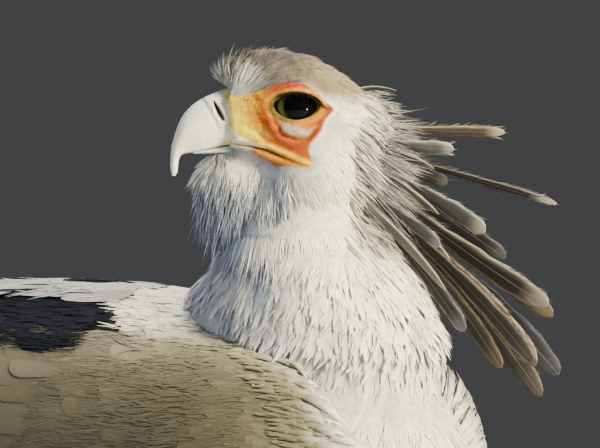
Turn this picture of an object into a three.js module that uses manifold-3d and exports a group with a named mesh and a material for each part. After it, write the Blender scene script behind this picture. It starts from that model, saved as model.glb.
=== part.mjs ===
// A life-size secretary bird (Sagittarius serpentarius) as a still museum model.
// It stands on both feet with its neck drawn in, and looks back over its right shoulder.
//
// Frame: millimetres, +Z up. The body heads towards -Y, the tail lies towards +Y, and the
// bird's own left is +X. Stations along the body are given by f, the distance forward (f = -y).
// The floor is z = 0. ORIGIN moves the finished bird so that the origin is the middle of the
// footprint of its bounding box, on the floor.
import * as THREE from 'three';
import { mergeVertices } from 'three/addons/utils/BufferGeometryUtils.js';
import Module from 'manifold-3d';

const wasm = await Module();
wasm.setup();

// ---------------------------------------------------------------- driving sizes
const ORIGIN = { x: -25.408, y: -338.736 };
const GAP = 0.3;              // clearance between two nodes that touch
const P_BODY = 2.2;           // roundness of the body sections (2 = ellipse)

// Trunk: forward station f, top z, bottom z, half width
const TRUNK = [
  [-262, 784, 728, 26], [-240, 792, 712, 40], [-200, 802, 686, 58], [-140, 811, 655, 77],
  [-80, 816, 633, 88], [-20, 819, 621, 92], [40, 820, 618, 91], [90, 819, 627, 86],
  [120, 814, 641, 78], [145, 802, 662, 63], [161, 787, 688, 43], [171, 770, 714, 26], [175, 752, 738, 7],
];
// The same body carried on under the folded wings to their tips
const WING_CORE = [
  [-490, 744, 716, 9], [-470, 750, 712, 12], [-400, 766, 704, 18], [-330, 778, 708, 23], ...TRUNK,
];
// Folded wing on that core: f, upper edge angle, lower edge angle (degrees up from the side), thickness
const WING = [
  [-486, 8, -8, 1.6], [-470, 34, -30, 3], [-430, 58, -42, 4], [-380, 68, -44, 5], [-320, 72, -42, 6.5],
  [-260, 75, -40, 8], [-200, 77, -37, 9], [-100, 78, -33, 10], [-20, 77, -31, 10], [20, 77, -31, 10.5],
  [48, 71, -31, 11], [84, 61, -30, 11.5], [108, 51, -26, 11.5], [126, 41, -20, 11], [136, 30, -11, 10], [142, 15, -3, 8.5],
];
// Neck: z, centre x, centre f, half width across, half width fore and aft
const NECK = [
  [745, 0, 84, 52, 76], [775, 0, 83, 58, 83], [800, 0, 82, 62, 85], [820, 0, 83, 64, 84], [838, 0, 81, 60, 76],
  [855, 0, 81.7, 52, 60], [870, -1, 78, 44, 47], [888, -2, 78, 34, 35.5], [902, 1, 84, 34, 35], [916, 2, 86, 31, 32], [930, 2, 86, 22, 24],
];

// Head: its place, and the way it looks. VIEW is the bearing that it is square to, ROLL about its own axis is none.
const HEAD_AT = { x: 2, f: 84, z: 932 };
const VIEW = 52;              // degrees round from straight ahead, on the bird's right
const HEAD_TURN = 4;          // degrees that the bill comes round towards that bearing
const HEAD_PITCH = 8;         // degrees that the bill is lifted
// Head stations from nape to brow: forward X, top, bottom, half width (head's own axes)
const HEAD = [
  [-36, 5, -8, 5], [-34.5, 10, -16, 13], [-30, 16.5, -27, 20.5], [-21, 23.5, -36, 25.5], [-9, 30, -40, 28.5],
  [3, 34.5, -40, 27.5], [14, 37, -37, 25.5], [26, 37, -33, 23], [36, 34.5, -30.5, 20], [44, 31, -28.5, 16.5], [49, 27, -27, 13.5],
];
const BROW_TUFT = { at: [42, 19.5], size: [20.5, 11, 14] };      // loose feathers over the bill's base
const THROAT_TUFT = { at: [40, -44], size: [29, 27, 15.5] };     // hanging throat feathers
// Upper bill: top X, top Z, lower X, lower Z, half width, from the face to the hook's tip
const BILL_UPPER = [
  [45, 13.2, 26.5, -17.4, 12.4], [52.1, 10.1, 38.4, -17.9, 11.4], [56.7, 7.6, 45.8, -19.3, 10.6], [61.7, 4.4, 56.2, -22.9, 9.4],
  [68, -1.2, 61.9, -25.1, 7.8], [72.4, -9, 65.6, -26.1, 6.2], [74.4, -17.4, 68.4, -27.1, 4.8], [75.2, -24.7, 70.1, -28.9, 3.6],
  [74.7, -32.9, 70.5, -31.7, 2.5], [73.9, -36.6, 70.3, -36.6, 1.8], [72.9, -39.6, 71.1, -39.6, 0.8],
];
const BILL_LOWER = [
  [4, -21.5, 5, -27.2, 13.2], [15.8, -19.2, 17.3, -28.1, 12.6], [24.3, -17.6, 27.5, -25.3, 11.4], [35.7, -17.6, 36, -23.6, 9.6],
  [45.8, -19.3, 45.3, -23.9, 7.8], [56.2, -22.8, 54.9, -25.1, 5.4], [63.6, -25.2, 63.2, -26.3, 2.6],
];
const EYE = { at: [12.2, 14.4, 8.8], r: 13 };                     // X, out to the side, Z
const ORBIT = { at: [12, 27.6, 7.8], size: [14, 6, 10.5] };       // the hollow of the face around each eye

// Crest plumes: root behind and above the head's centre, reach back to the tip, fall to the tip,
// greatest width, swing towards the head's left (degrees), and how far the middle bows upwards
const CREST = [
  [29, 10, 13, 4, 4.5, 8, 0], [31, -5.3, 73, 2.4, 6.5, -4, 0.5], [29, -9.5, 43.5, 3.8, 8.5, 18, -1], [29, -15.5, 102, 30, 5, 3, 0.5],
  [28, -18, 47, 20, 8, -22, 1], [29, -23.5, 61, 35, 11.5, 14, 1.5], [29, -27, 78, 52, 10, -14, 1], [28, -30, 100, 73, 13.5, -3, -2],
  [27, -38, 37, 26, 9, 30, 1], [28, -33, 108, 81, 12, -18, 1], [27, -38, 80, 76, 11, 8, 2], [27, -40, 88, 88, 12, 17, 4],
  [27, -41, 96, 97, 13, -8, 6], [27, -43, 116, 108, 14, -26, 5], [27, -43, 74, 92, 10, 4, 4], [27, -45, 51, 66, 11, 22, 2],
  [27, -40, 102, 118, 12, -16, 5],
];

// Tail: distance back from its root, half width, half thickness. Its axis drops from TAIL_ROOT at TAIL_DROP degrees.
const TAIL_ROOT = { f: -205, z: 755 }, TAIL_DROP = 21;
const TAIL = [[0, 22, 20], [30, 30, 19], [70, 38, 15], [130, 46, 11], [200, 50, 8], [280, 51, 6], [350, 47, 4.5], [392, 36, 3.5], [412, 20, 2.5]];
const STREAMER = [[360, 10, 2.2], [420, 13, 2], [520, 15, 1.7], [620, 15, 1.5], [690, 13, 1.3], [722, 8, 1.1], [732, 3, 0.9]];
const STREAMER_SAG = 46;      // how far the two long middle feathers have drooped at their tips

// Legs: hip spacing, and how far each foot stands forward
const HIP = { x: 46, f: -10, z: 668 };
const LEGS = { L: { side: 1, foot: -6 }, R: { side: -1, foot: -56 } };
const FOOT_X = 56, ANKLE_Z = 338, FOOT_Z = 24, ANKLE_BACK = 52;
// Feathered thigh: share of the way from hip to ankle, half width fore and aft, half width across
const THIGH = [[0, 44, 26], [0.1, 54, 35], [0.22, 54, 36], [0.36, 45, 31], [0.52, 34, 25], [0.68, 25, 19.5], [0.8, 18.5, 15], [0.88, 14, 12], [0.93, 9, 8]];
// Bare shank: share of the way from the thigh's end over the heel joint to the foot, as z, fore and aft, across
const TOES = [                // name, bearing from straight ahead (degrees, outwards positive), length, radius, claw
  ['mid', 2, 66, 7.4, 17], ['inner', -34, 47, 7, 17], ['outer', 36, 49, 7, 14], ['hind', 176, 26, 6.4, 15],
];

// ---------------------------------------------------------------- shape tools
const V = (x, y, z) => new THREE.Vector3(x, y, z);
const rad = THREE.MathUtils.degToRad;

// Smooth, overshoot-free curve through a table's rows; the first column is the station.
function through(rows) {
  const n = rows.length, m = rows[0].length - 1;
  const slope = rows.map(() => new Array(m).fill(0));
  for (let k = 1; k <= m; k++) {
    const d = [];
    for (let i = 0; i < n - 1; i++) d.push((rows[i + 1][k] - rows[i][k]) / (rows[i + 1][0] - rows[i][0]));
    for (let i = 0; i < n; i++) {
      if (i === 0) slope[i][k - 1] = d[0];
      else if (i === n - 1) slope[i][k - 1] = d[n - 2];
      else slope[i][k - 1] = d[i - 1] * d[i] > 0 ? 2 * d[i - 1] * d[i] / (d[i - 1] + d[i]) : 0;
    }
  }
  return t => {
    const s = Math.min(Math.max(t, rows[0][0]), rows[n - 1][0]);
    let i = 0;
    while (i < n - 2 && s > rows[i + 1][0]) i++;
    const h = rows[i + 1][0] - rows[i][0], u = (s - rows[i][0]) / h;
    return Array.from({ length: m }, (_, k) => {
      const a = rows[i][k + 1], b = rows[i + 1][k + 1], p = slope[i][k] * h, q = slope[i + 1][k] * h;
      return a * (1 + 2 * u) * (1 - u) ** 2 + p * u * (1 - u) ** 2 + b * u * u * (3 - 2 * u) + q * u * u * (u - 1);
    });
  };
}
const signedPow = (c, e) => Math.sign(c) * Math.abs(c) ** e;

// A closed solid through rings of equal length, with a fan at each end.
function loft(rings) {
  const n = rings[0].length, pos = [], idx = [];
  for (const ring of rings) for (const p of ring) pos.push(p.x, p.y, p.z);
  const centre = ring => ring.reduce((s, p) => s.add(p), V(0, 0, 0)).multiplyScalar(1 / ring.length);
  const a = centre(rings[0]), b = centre(rings[rings.length - 1]);
  pos.push(a.x, a.y, a.z, b.x, b.y, b.z);
  const A = rings.length * n, B = A + 1;
  for (let i = 0; i < rings.length - 1; i++) {
    for (let k = 0; k < n; k++) {
      const k2 = (k + 1) % n, p = i * n + k, q = i * n + k2, r = p + n, s = q + n;
      idx.push(p, q, s, p, s, r);
    }
  }
  const last = (rings.length - 1) * n;
  for (let k = 0; k < n; k++) {
    const k2 = (k + 1) % n;
    idx.push(A, k2, k, B, last + k, last + k2);
  }
  const g = new THREE.BufferGeometry();
  g.setAttribute('position', new THREE.Float32BufferAttribute(pos, 3));
  g.setIndex(idx);
  return solid(g);
}

// A three.js geometry as a solid, turned right side out.
function solid(geometry, matrix) {
  const g = geometry.clone();
  g.deleteAttribute('normal');
  g.deleteAttribute('uv');
  if (matrix) g.applyMatrix4(matrix);
  const m = mergeVertices(g, 1e-4);
  const p = m.attributes.position.array, t = new Uint32Array(m.index.array);
  let vol = 0;
  for (let i = 0; i < t.length; i += 3) {
    const [a, b, c] = [t[i] * 3, t[i + 1] * 3, t[i + 2] * 3];
    vol += p[a] * (p[b + 1] * p[c + 2] - p[b + 2] * p[c + 1]) - p[a + 1] * (p[b] * p[c + 2] - p[b + 2] * p[c])
      + p[a + 2] * (p[b] * p[c + 1] - p[b + 1] * p[c]);
  }
  if (vol < 0) for (let i = 0; i < t.length; i += 3) [t[i + 1], t[i + 2]] = [t[i + 2], t[i + 1]];
  return new wasm.Manifold(new wasm.Mesh({ numProp: 3, vertProperties: new Float32Array(p), triVerts: t }));
}

function ellipsoid(at, size, seg = 18, rows = 12, turn = null) {
  const m = new THREE.Matrix4().makeTranslation(at.x, at.y, at.z);
  if (turn) m.multiply(turn);
  m.multiply(new THREE.Matrix4().makeScale(size[0], size[1], size[2]));
  return solid(new THREE.SphereGeometry(1, seg, rows), m);
}

// The half-space on the side of p that n points to, as a big block.
function beyond(p, n, size = 2400) {
  const q = new THREE.Quaternion().setFromUnitVectors(V(0, 0, 1), n.clone().normalize());
  const m = new THREE.Matrix4().compose(p.clone().addScaledVector(n.clone().normalize(), size / 2), q, V(1, 1, 1));
  return solid(new THREE.BoxGeometry(size, size, size), m);
}

// The largest single piece of a solid, for cuts that leave crumbs.
function main(s) {
  return s.decompose().sort((a, b) => b.volume() - a.volume())[0];
}

// A tube along a centreline: stations of {c, across, up, a, b}
function sweep(stations, n, grow = 0) {
  return loft(stations.map(s => Array.from({ length: n }, (_, k) => {
    const t = 2 * Math.PI * k / n;
    return s.c.clone().addScaledVector(s.across, (s.a + grow) * Math.cos(t)).addScaledVector(s.up, (s.b + grow) * Math.sin(t));
  })));
}

// ---------------------------------------------------------------- trunk, wings, neck
const trunkAt = through(TRUNK), coreAt = through(WING_CORE), wingAt = through(WING), neckAt = through(NECK);

function bodyRing(at, f, n, grow) {
  const [top, low, w] = at(f), zc = (top + low) / 2, h = (top - low) / 2;
  return Array.from({ length: n }, (_, k) => {
    const t = 2 * Math.PI * k / n;
    return V((w + grow) * signedPow(Math.cos(t), 2 / P_BODY), -f, zc + (h + grow) * signedPow(Math.sin(t), 2 / P_BODY));
  });
}
function trunkSolid(grow = 0) {
  const a = TRUNK[0][0] - grow, b = TRUNK[TRUNK.length - 1][0] + grow, steps = 19;
  return loft(Array.from({ length: steps + 1 }, (_, i) => {
    const s = i / steps, e = 0.5 - 0.5 * Math.cos(Math.PI * (0.08 + 0.92 * s));
    const e0 = 0.5 - 0.5 * Math.cos(Math.PI * 0.08);
    return bodyRing(trunkAt, a + (b - a) * (e - e0) / (1 - e0), 24, grow);
  }));
}
function neckSolid(grow = 0) {
  const z0 = NECK[0][0], z1 = NECK[NECK.length - 1][0], steps = 11;
  return loft(Array.from({ length: steps + 1 }, (_, i) => {
    const z = z0 + (z1 - z0) * i / steps, [x, f, rx, rf] = neckAt(z);
    return Array.from({ length: 22 }, (_, k) => {
      const t = 2 * Math.PI * k / 22;
      return V(x + (rx + grow) * Math.cos(t), -f - (rf + grow) * Math.sin(t), z);
    });
  }));
}
// A folded wing: a curved plate that wraps the body's side, from the wrist to the tips of the long feathers.
function wingSolid(side, inner, extra) {
  const f0 = WING[0][0] - extra, f1 = WING[WING.length - 1][0] + extra, steps = 19, across = 5;
  const point = (f, deg, off) => {
    const [top, low, w] = coreAt(f), zc = (top + low) / 2, h = (top - low) / 2, t = rad(deg);
    const x = w * signedPow(Math.cos(t), 2 / P_BODY), z = h * signedPow(Math.sin(t), 2 / P_BODY);
    const nx = Math.cos(t) / w, nz = Math.sin(t) / h, l = Math.hypot(nx, nz);
    return V(side * (x + off * nx / l), -f, zc + z + off * nz / l);
  };
  const rings = [];
  for (let i = 0; i <= steps; i++) {
    const s = i / steps, f = f0 + (f1 - f0) * (0.5 - 0.5 * Math.cos(Math.PI * s));
    const [up, low, thick] = wingAt(f), ring = [];
    const edge = extra * 0.35;
    for (let k = 0; k <= across; k++) {
      const u = k / across, deg = up + edge + (low - up - 2 * edge) * u;
      const bulge = 0.72 + 0.28 * Math.sin(Math.PI * u);
      ring.push(point(f, deg, thick * bulge + extra));
    }
    for (let k = across; k >= 0; k--) ring.push(point(f, up + edge + (low - up - 2 * edge) * k / across, inner));
    rings.push(ring);
  }
  return loft(rings);
}
const grownTrunk = trunkSolid(GAP), grownNeck = neckSolid(GAP);
const wings = { L: wingSolid(1, -2, 0), R: wingSolid(-1, -2, 0) };
const grownWings = wingSolid(1, -2.3, GAP).add(wingSolid(-1, -2.3, GAP));
for (const s of ['L', 'R']) wings[s] = wings[s].subtract(grownTrunk).subtract(grownNeck);

// ---------------------------------------------------------------- head
const RIGHT = V(Math.cos(rad(VIEW)), -Math.sin(rad(VIEW)), 0);      // square to VIEW, towards the breast
const NEAR = V(-Math.sin(rad(VIEW)), -Math.cos(rad(VIEW)), 0);      // towards the one who looks along VIEW
const flat = RIGHT.clone().multiplyScalar(-Math.cos(rad(HEAD_TURN))).addScaledVector(NEAR, Math.sin(rad(HEAD_TURN)));
const E1 = flat.clone().multiplyScalar(Math.cos(rad(HEAD_PITCH))).add(V(0, 0, Math.sin(rad(HEAD_PITCH))));
const E2 = V(-flat.y, flat.x, 0);                                    // the head's own left
const E3 = new THREE.Vector3().crossVectors(E1, E2);
const O = V(HEAD_AT.x, -HEAD_AT.f, HEAD_AT.z);
const H = (x, y, z) => O.clone().addScaledVector(E1, x).addScaledVector(E2, y).addScaledVector(E3, z);
const headTurn = new THREE.Matrix4().makeBasis(E1, E2, E3);

const headAt = through(HEAD);
function headSolid() {
  const a = HEAD[0][0], b = HEAD[HEAD.length - 1][0], steps = 13;
  return loft(Array.from({ length: steps + 1 }, (_, i) => {
    const e = 0.5 - 0.5 * Math.cos(Math.PI * (0.86 * i / steps)), e1 = 0.5 - 0.5 * Math.cos(Math.PI * 0.86);
    const x = a + (b - a) * e / e1, [top, low, w] = headAt(x);
    return Array.from({ length: 18 }, (_, k) => {
      const t = 2 * Math.PI * k / 18, s = Math.sin(t);
      return H(x, w * signedPow(Math.cos(t), 0.92), s > 0 ? top * s + 0 : -low * s);
    });
  }));
}
// Bill halves, swept through their top and lower lines.
function billSolid(rows, n, steps, grow) {
  const line = through(rows.map((r, i) => [i, ...r]));
  const rings = [];
  for (let i = 0; i <= steps; i++) {
    const [tx, tz, bx, bz, w] = line((rows.length - 1) * i / steps);
    const cx = (tx + bx) / 2, cz = (tz + bz) / 2, l = Math.hypot(tx - bx, tz - bz), g = 1 + 2 * grow / l;
    rings.push(Array.from({ length: n }, (_, k) => {
      const t = 2 * Math.PI * k / n, s = Math.sin(t);
      const across = (w + grow) * signedPow(Math.cos(t), 0.8) * (s > 0 ? 1 - 0.28 * s * s : 1);
      return H(cx + (tx - bx) / 2 * g * s, across, cz + (tz - bz) / 2 * g * s);
    }));
  }
  return loft(rings);
}
const eyeAt = side => H(EYE.at[0], side * EYE.at[1], EYE.at[2]);
const eyes = { L: ellipsoid(eyeAt(1), [EYE.r, EYE.r, EYE.r], 14, 9), R: ellipsoid(eyeAt(-1), [EYE.r, EYE.r, EYE.r], 14, 9) };
const sockets = ellipsoid(eyeAt(1), [EYE.r + GAP, EYE.r + GAP, EYE.r + GAP], 14, 9)
  .add(ellipsoid(eyeAt(-1), [EYE.r + GAP, EYE.r + GAP, EYE.r + GAP], 14, 9));

const billUpper = billSolid(BILL_UPPER, 12, 11, 0).subtract(sockets);
const billLower = billSolid(BILL_LOWER, 10, 7, 0).subtract(billSolid(BILL_UPPER, 12, 11, GAP));
const grownBills = billSolid(BILL_UPPER, 12, 11, GAP).add(billSolid(BILL_LOWER, 10, 7, GAP));

const orbits = [1, -1].map(s => ellipsoid(H(ORBIT.at[0], s * ORBIT.at[1], ORBIT.at[2]), ORBIT.size, 12, 5, headTurn))
  .reduce((a, b) => a.add(b));
const tuft = t => ellipsoid(H(t.at[0], 0, t.at[1]), [t.size[0], t.size[2], t.size[1]], 12, 7, headTurn);

// A crest plume: a narrow shaft that widens to a rounded blade, bowed a little.
const SHAPE = through([[0, 0.26, 1.5], [0.2, 0.34, 1.3], [0.45, 0.66, 1.1], [0.72, 1, 1], [0.9, 0.95, 0.9], [0.97, 0.66, 0.8], [1, 0.22, 0.7]]);
function plume([back, high, reach, fall, width, swing, bow], grow = 0) {
  const stations = [], steps = 5, a = rad(swing);
  const away = flat.clone().multiplyScalar(-Math.cos(a)).addScaledVector(E2, Math.sin(a));
  const run = reach / Math.cos(a), length = Math.hypot(run, fall);
  const dir = away.clone().multiplyScalar(run / length).add(V(0, 0, -fall / length));
  const under = away.clone().multiplyScalar(-fall / length).add(V(0, 0, -run / length));
  const across = under.clone().applyAxisAngle(dir, rad(24)), thin = new THREE.Vector3().crossVectors(dir, across);
  const root = O.clone().addScaledVector(flat, -back).addScaledVector(E2, 0.55 * swing).add(V(0, 0, high));
  for (let i = 0; i <= steps; i++) {
    const s = i / steps, [w, t] = SHAPE(s), u = s * (1 + 12 / length) - 12 / length;
    const c = root.clone().addScaledVector(dir, u * length).addScaledVector(under, -bow * 4 * u * (1 - u));
    stations.push({ c, across, up: thin, a: width / 2 * w, b: t / 2 });
  }
  return sweep(stations, 4, grow);
}
const plumes = CREST.map(row => plume(row)), grownPlumes = CREST.map(row => plume(row, GAP));
const crest = plumes.reduce((a, b) => a.add(b)), grownCrest = grownPlumes.reduce((a, b) => a.add(b));

// ---------------------------------------------------------------- whole flesh, then parted
const flesh = trunkSolid().add(neckSolid()).add(headSolid()).add(tuft(BROW_TUFT)).add(tuft(THROAT_TUFT))
  .subtract(grownBills).subtract(sockets).subtract(orbits);

const HEAD_CUT = { p: H(42, 0, -73), n: E1.clone().multiplyScalar(0.328).addScaledVector(E3, 0.945) };
const NECK_CUT = { p: V(0, -80, 824), n: V(0, -0.18, 1) };
const cut = (s, { p, n }, way) => s.intersect(beyond(p.clone().addScaledVector(n.clone().normalize(), way * GAP / 2), n.clone().multiplyScalar(way)));
const head = main(cut(flesh, HEAD_CUT, 1).add(crest).subtract(grownBills).subtract(sockets));
const neck = main(cut(cut(flesh, HEAD_CUT, -1), NECK_CUT, 1).subtract(grownCrest));
const trunkWhole = main(cut(flesh, NECK_CUT, -1).subtract(grownCrest));

// ---------------------------------------------------------------- tail
const tailDir = V(0, Math.cos(rad(TAIL_DROP)), -Math.sin(rad(TAIL_DROP)));
const tailUp = V(0, Math.sin(rad(TAIL_DROP)), Math.cos(rad(TAIL_DROP)));
const tailRoot = V(0, -TAIL_ROOT.f, TAIL_ROOT.z);
const tailAt = through(TAIL), streamerAt = through(STREAMER);
function tailSolid(grow = 0) {
  const end = TAIL[TAIL.length - 1][0];
  return sweep(Array.from({ length: 11 }, (_, i) => {
    const s = end * Math.sin(Math.PI / 2 * i / 10), [a, b] = tailAt(s);
    return { c: tailRoot.clone().addScaledVector(tailDir, s), across: V(1, 0, 0), up: tailUp, a, b };
  }), 12, grow);
}
function streamerSolid(side) {
  const s0 = STREAMER[0][0], s1 = STREAMER[STREAMER.length - 1][0];
  return sweep(Array.from({ length: 9 }, (_, i) => {
    const s = s0 + (s1 - s0) * i / 8, [a, b] = streamerAt(s), u = (s - s0) / (s1 - s0);
    return { c: tailRoot.clone().addScaledVector(tailDir, s).addScaledVector(V(side, 0, 0), 16.4 - 0.6 * u).addScaledVector(tailUp, -STREAMER_SAG * u * u), across: V(1, 0, 0), up: tailUp, a, b };
  }), 6, 0);
}
const tail = main(tailSolid().subtract(grownTrunk).subtract(grownWings));
const grownTail = tailSolid(GAP);
const streamers = { L: main(streamerSolid(1).subtract(grownTail)), R: main(streamerSolid(-1).subtract(grownTail)) };

// ---------------------------------------------------------------- legs
function shankStations(leg) {
  const { side, foot } = LEGS[leg];
  const ankle = V(side * (FOOT_X - 3), -(foot - ANKLE_BACK), ANKLE_Z), sole = V(side * FOOT_X, -foot, FOOT_Z);
  const hip = V(side * HIP.x, -HIP.f, HIP.z);
  return { hip, ankle, sole };
}
const FORE = V(0, -1, 0), SIDE = V(1, 0, 0);
function thighSolid(leg, grow = 0) {
  const { hip, ankle } = shankStations(leg), at = through(THIGH), end = THIGH[THIGH.length - 1][0];
  const dir = ankle.clone().sub(hip).normalize(), up = new THREE.Vector3().crossVectors(dir, SIDE).normalize();
  return sweep(Array.from({ length: 9 }, (_, i) => {
    const s = end * i / 8, [a, b] = at(s);
    return { c: hip.clone().lerp(ankle, s), across: up, up: SIDE, a, b };
  }), 12, grow);
}
// The bare leg, over the heel joint and down the long shank, in z: half widths fore and aft, and across
const SHANK = [[FOOT_Z - 8, 8.4, 8.6], [FOOT_Z + 10, 8.6, 8], [60, 8, 6.9], [120, 7.6, 6.6], [200, 7.8, 6.8], [270, 8.6, 7.2], [305, 10.6, 8.6],
  [330, 13, 10.4], [345, 12.6, 10], [362, 9.2, 8], [385, 7.6, 7], [405, 7, 6.4]];
function shankSolid(leg, grow = 0) {
  const { hip, ankle, sole } = shankStations(leg), at = through(SHANK), z0 = SHANK[0][0], z1 = SHANK[SHANK.length - 1][0];
  const centre = z => {
    const low = sole.clone().lerp(ankle, (z - sole.z) / (ankle.z - sole.z)), high = ankle.clone().lerp(hip, (z - ankle.z) / (hip.z - ankle.z));
    const k = THREE.MathUtils.smoothstep(z, ANKLE_Z - 16, ANKLE_Z + 16);
    return low.lerp(high, k);
  };
  return sweep(Array.from({ length: 15 }, (_, i) => {
    const z = z0 + (z1 - z0) * (i / 14) ** 0.8, [a, b] = at(z);
    return { c: centre(z), across: FORE, up: SIDE, a, b };
  }), 8, grow);
}
const SOLE_CUT = FOOT_Z + 4;
function toeLine(leg, [, bearing, length, r]) {
  const { side, foot } = LEGS[leg], a = rad(bearing);
  const dir = V(side * Math.sin(a), -Math.cos(a), 0), hub = V(side * FOOT_X, -foot, 0);
  return { dir, hub, across: V(dir.y, -dir.x, 0), length, r };
}
function toeSolid(leg, toe) {
  const { dir, hub, across, length, r } = toeLine(leg, toe);
  const steps = 5;
  return sweep(Array.from({ length: steps + 1 }, (_, i) => {
    const s = i / steps, pad = 1 + 0.07 * Math.cos(s * Math.PI * 6), rr = r * (1.12 - 0.34 * s) * pad * (s > 0.97 ? 0.72 : 1);
    const lift = rr * 0.86 + 5 * (1 - s) ** 3;
    return { c: hub.clone().addScaledVector(dir, 2 + (length - 2) * s).add(V(0, 0, lift)), across, up: V(0, 0, 1), a: rr, b: rr };
  }), 7, 0);
}
function clawSolid(leg, toe, grow = 0) {
  const { dir, hub, across, length, r } = toeLine(leg, toe), claw = toe[4], steps = 4;
  return sweep(Array.from({ length: steps + 1 }, (_, i) => {
    const s = i / steps, rr = Math.max(0.5, r * 0.56 * (1 - s) ** 0.8);
    const c = hub.clone().addScaledVector(dir, length - 5 + (claw + 4) * Math.sin(s * 1.25) / Math.sin(1.25));
    return { c: c.add(V(0, 0, r * 0.92 - (r * 0.92 - 1.1) * s * s)), across, up: V(0, 0, 1), a: rr * 0.8, b: rr };
  }), 6, grow);
}
const above = beyond(V(0, 0, 0), V(0, 0, 1));
const legParts = {};
for (const leg of ['L', 'R']) {
  const { sole } = shankStations(leg);
  const soleCut = { p: V(0, 0, SOLE_CUT), n: V(0, 0, 1) };
  const shankRaw = shankSolid(leg);
  const shank = cut(shankRaw, soleCut, 1);
  const thigh = main(thighSolid(leg).subtract(shankSolid(leg, GAP)).subtract(grownTrunk).subtract(grownWings));
  let foot = ellipsoid(V(sole.x, sole.y, 13.2), [12, 13.5, 14], 12, 8).add(shankRaw);
  for (const toe of TOES) foot = foot.add(toeSolid(leg, toe));
  foot = cut(foot, soleCut, -1).intersect(above);
  const claws = {};
  for (const toe of TOES) {
    foot = foot.subtract(clawSolid(leg, toe, GAP));
    claws[toe[0]] = main(clawSolid(leg, toe).intersect(above));
  }
  legParts[leg] = { shank: main(shank), thigh, foot: main(foot), claws };
}
const trunk = main(trunkWhole);

// ---------------------------------------------------------------- the model
const COLOURS = {
  plumage: [0xc9c6c0, 0.9], wing: [0xa9a7a6, 0.85], tail: [0x8d8c8d, 0.85], dark: [0x1c1b1f, 0.85],
  bill: [0xd9dce0, 0.4], eye: [0x20180f, 0.08], leg: [0xd9a58f, 0.6], claw: [0x24211f, 0.45],
};
const group = new THREE.Group();
function put(name, s, look) {
  const mesh = s.getMesh(), n = mesh.numProp, pos = new Float32Array(mesh.numVert * 3);
  for (let i = 0; i < mesh.numVert; i++) pos.set(mesh.vertProperties.subarray(i * n, i * n + 3), i * 3);
  const g = new THREE.BufferGeometry();
  g.setAttribute('position', new THREE.BufferAttribute(pos, 3));
  g.setIndex(new THREE.BufferAttribute(new Uint32Array(mesh.triVerts), 1));
  g.computeVertexNormals();
  const [color, roughness] = COLOURS[look];
  const m = new THREE.Mesh(g, new THREE.MeshStandardMaterial({ color, roughness, metalness: 0 }));
  m.name = name;
  group.add(m);
}
put('trunk', trunk, 'plumage');
put('neck', neck, 'plumage');
put('head', head, 'plumage');
put('bill_upper', main(billUpper), 'bill');
put('bill_lower', main(billLower), 'bill');
for (const s of ['L', 'R']) {
  put('eye_' + s, eyes[s], 'eye');
  put('wing_' + s, main(wings[s]), 'wing');
  put('tail_streamer_' + s, streamers[s], 'tail');
  put('thigh_' + s, legParts[s].thigh, 'dark');
  put('shank_' + s, legParts[s].shank, 'leg');
  put('foot_' + s, legParts[s].foot, 'leg');
  for (const [name, claw] of Object.entries(legParts[s].claws)) put('claw_' + s + '_' + name, claw, 'claw');
}
put('tail', tail, 'tail');
group.position.set(ORIGIN.x, ORIGIN.y, 0);

export default group;
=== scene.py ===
# A life-size secretary bird as a still museum model: skin, bill, eyes, feathers, legs and feet.
# Shapes are worked out in millimetres in the bird's own frame (body heads towards -Y, left is +X,
# f = -y is the distance forward) and moved into the model's frame, in metres, by place().
import math
import bpy
import numpy as np
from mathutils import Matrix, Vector
from mathutils.kdtree import KDTree


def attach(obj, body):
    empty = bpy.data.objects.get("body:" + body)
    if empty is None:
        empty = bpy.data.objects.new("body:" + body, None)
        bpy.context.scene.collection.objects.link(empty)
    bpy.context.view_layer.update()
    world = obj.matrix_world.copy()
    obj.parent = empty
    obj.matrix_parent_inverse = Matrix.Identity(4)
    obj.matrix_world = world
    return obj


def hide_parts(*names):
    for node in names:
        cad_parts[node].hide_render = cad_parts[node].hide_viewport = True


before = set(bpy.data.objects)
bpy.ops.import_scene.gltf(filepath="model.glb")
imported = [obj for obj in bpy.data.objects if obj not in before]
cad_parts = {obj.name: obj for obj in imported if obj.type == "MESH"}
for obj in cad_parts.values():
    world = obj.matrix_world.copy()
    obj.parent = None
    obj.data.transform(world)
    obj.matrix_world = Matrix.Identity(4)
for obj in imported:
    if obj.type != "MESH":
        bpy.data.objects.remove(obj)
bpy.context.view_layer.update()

ORIGIN = np.array([-25.408, -338.736, 0.0])
rng = np.random.default_rng(20251)
rad = math.radians


def place(p):
    return (np.asarray(p, float) + ORIGIN) * 0.001


def unit(v):
    return v / np.maximum(np.linalg.norm(v, axis=-1, keepdims=True), 1e-9)


def step(a, b, x):
    t = np.clip((x - a) / (b - a), 0, 1)
    return t * t * (3 - 2 * t)


def mix(a, b, t):
    return a + (b - a) * t


# ------------------------------------------------------------------ camera, first
VIEW, EYE_LEVEL = rad(52), rad(6.5)
RIGHT = np.array([math.cos(VIEW), -math.sin(VIEW), 0.0])
NEAR = np.array([-math.sin(VIEW), -math.cos(VIEW), 0.0])
LOOK = np.array([NEAR[0] * math.cos(EYE_LEVEL), NEAR[1] * math.cos(EYE_LEVEL), math.sin(EYE_LEVEL)])
AIM = np.array([-8.15, -81.24, 876.7])
cam_data = bpy.data.cameras.new("camera")
cam_data.lens, cam_data.sensor_width = 250, 36
cam_data.clip_start, cam_data.clip_end = 0.05, 60
cam = bpy.data.objects.new("camera", cam_data)
bpy.context.scene.collection.objects.link(cam)
cam.location = place(AIM + LOOK * 2250)
cam.rotation_euler = Vector(-LOOK).to_track_quat("-Z", "Y").to_euler()
bpy.context.scene.camera = cam

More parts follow.
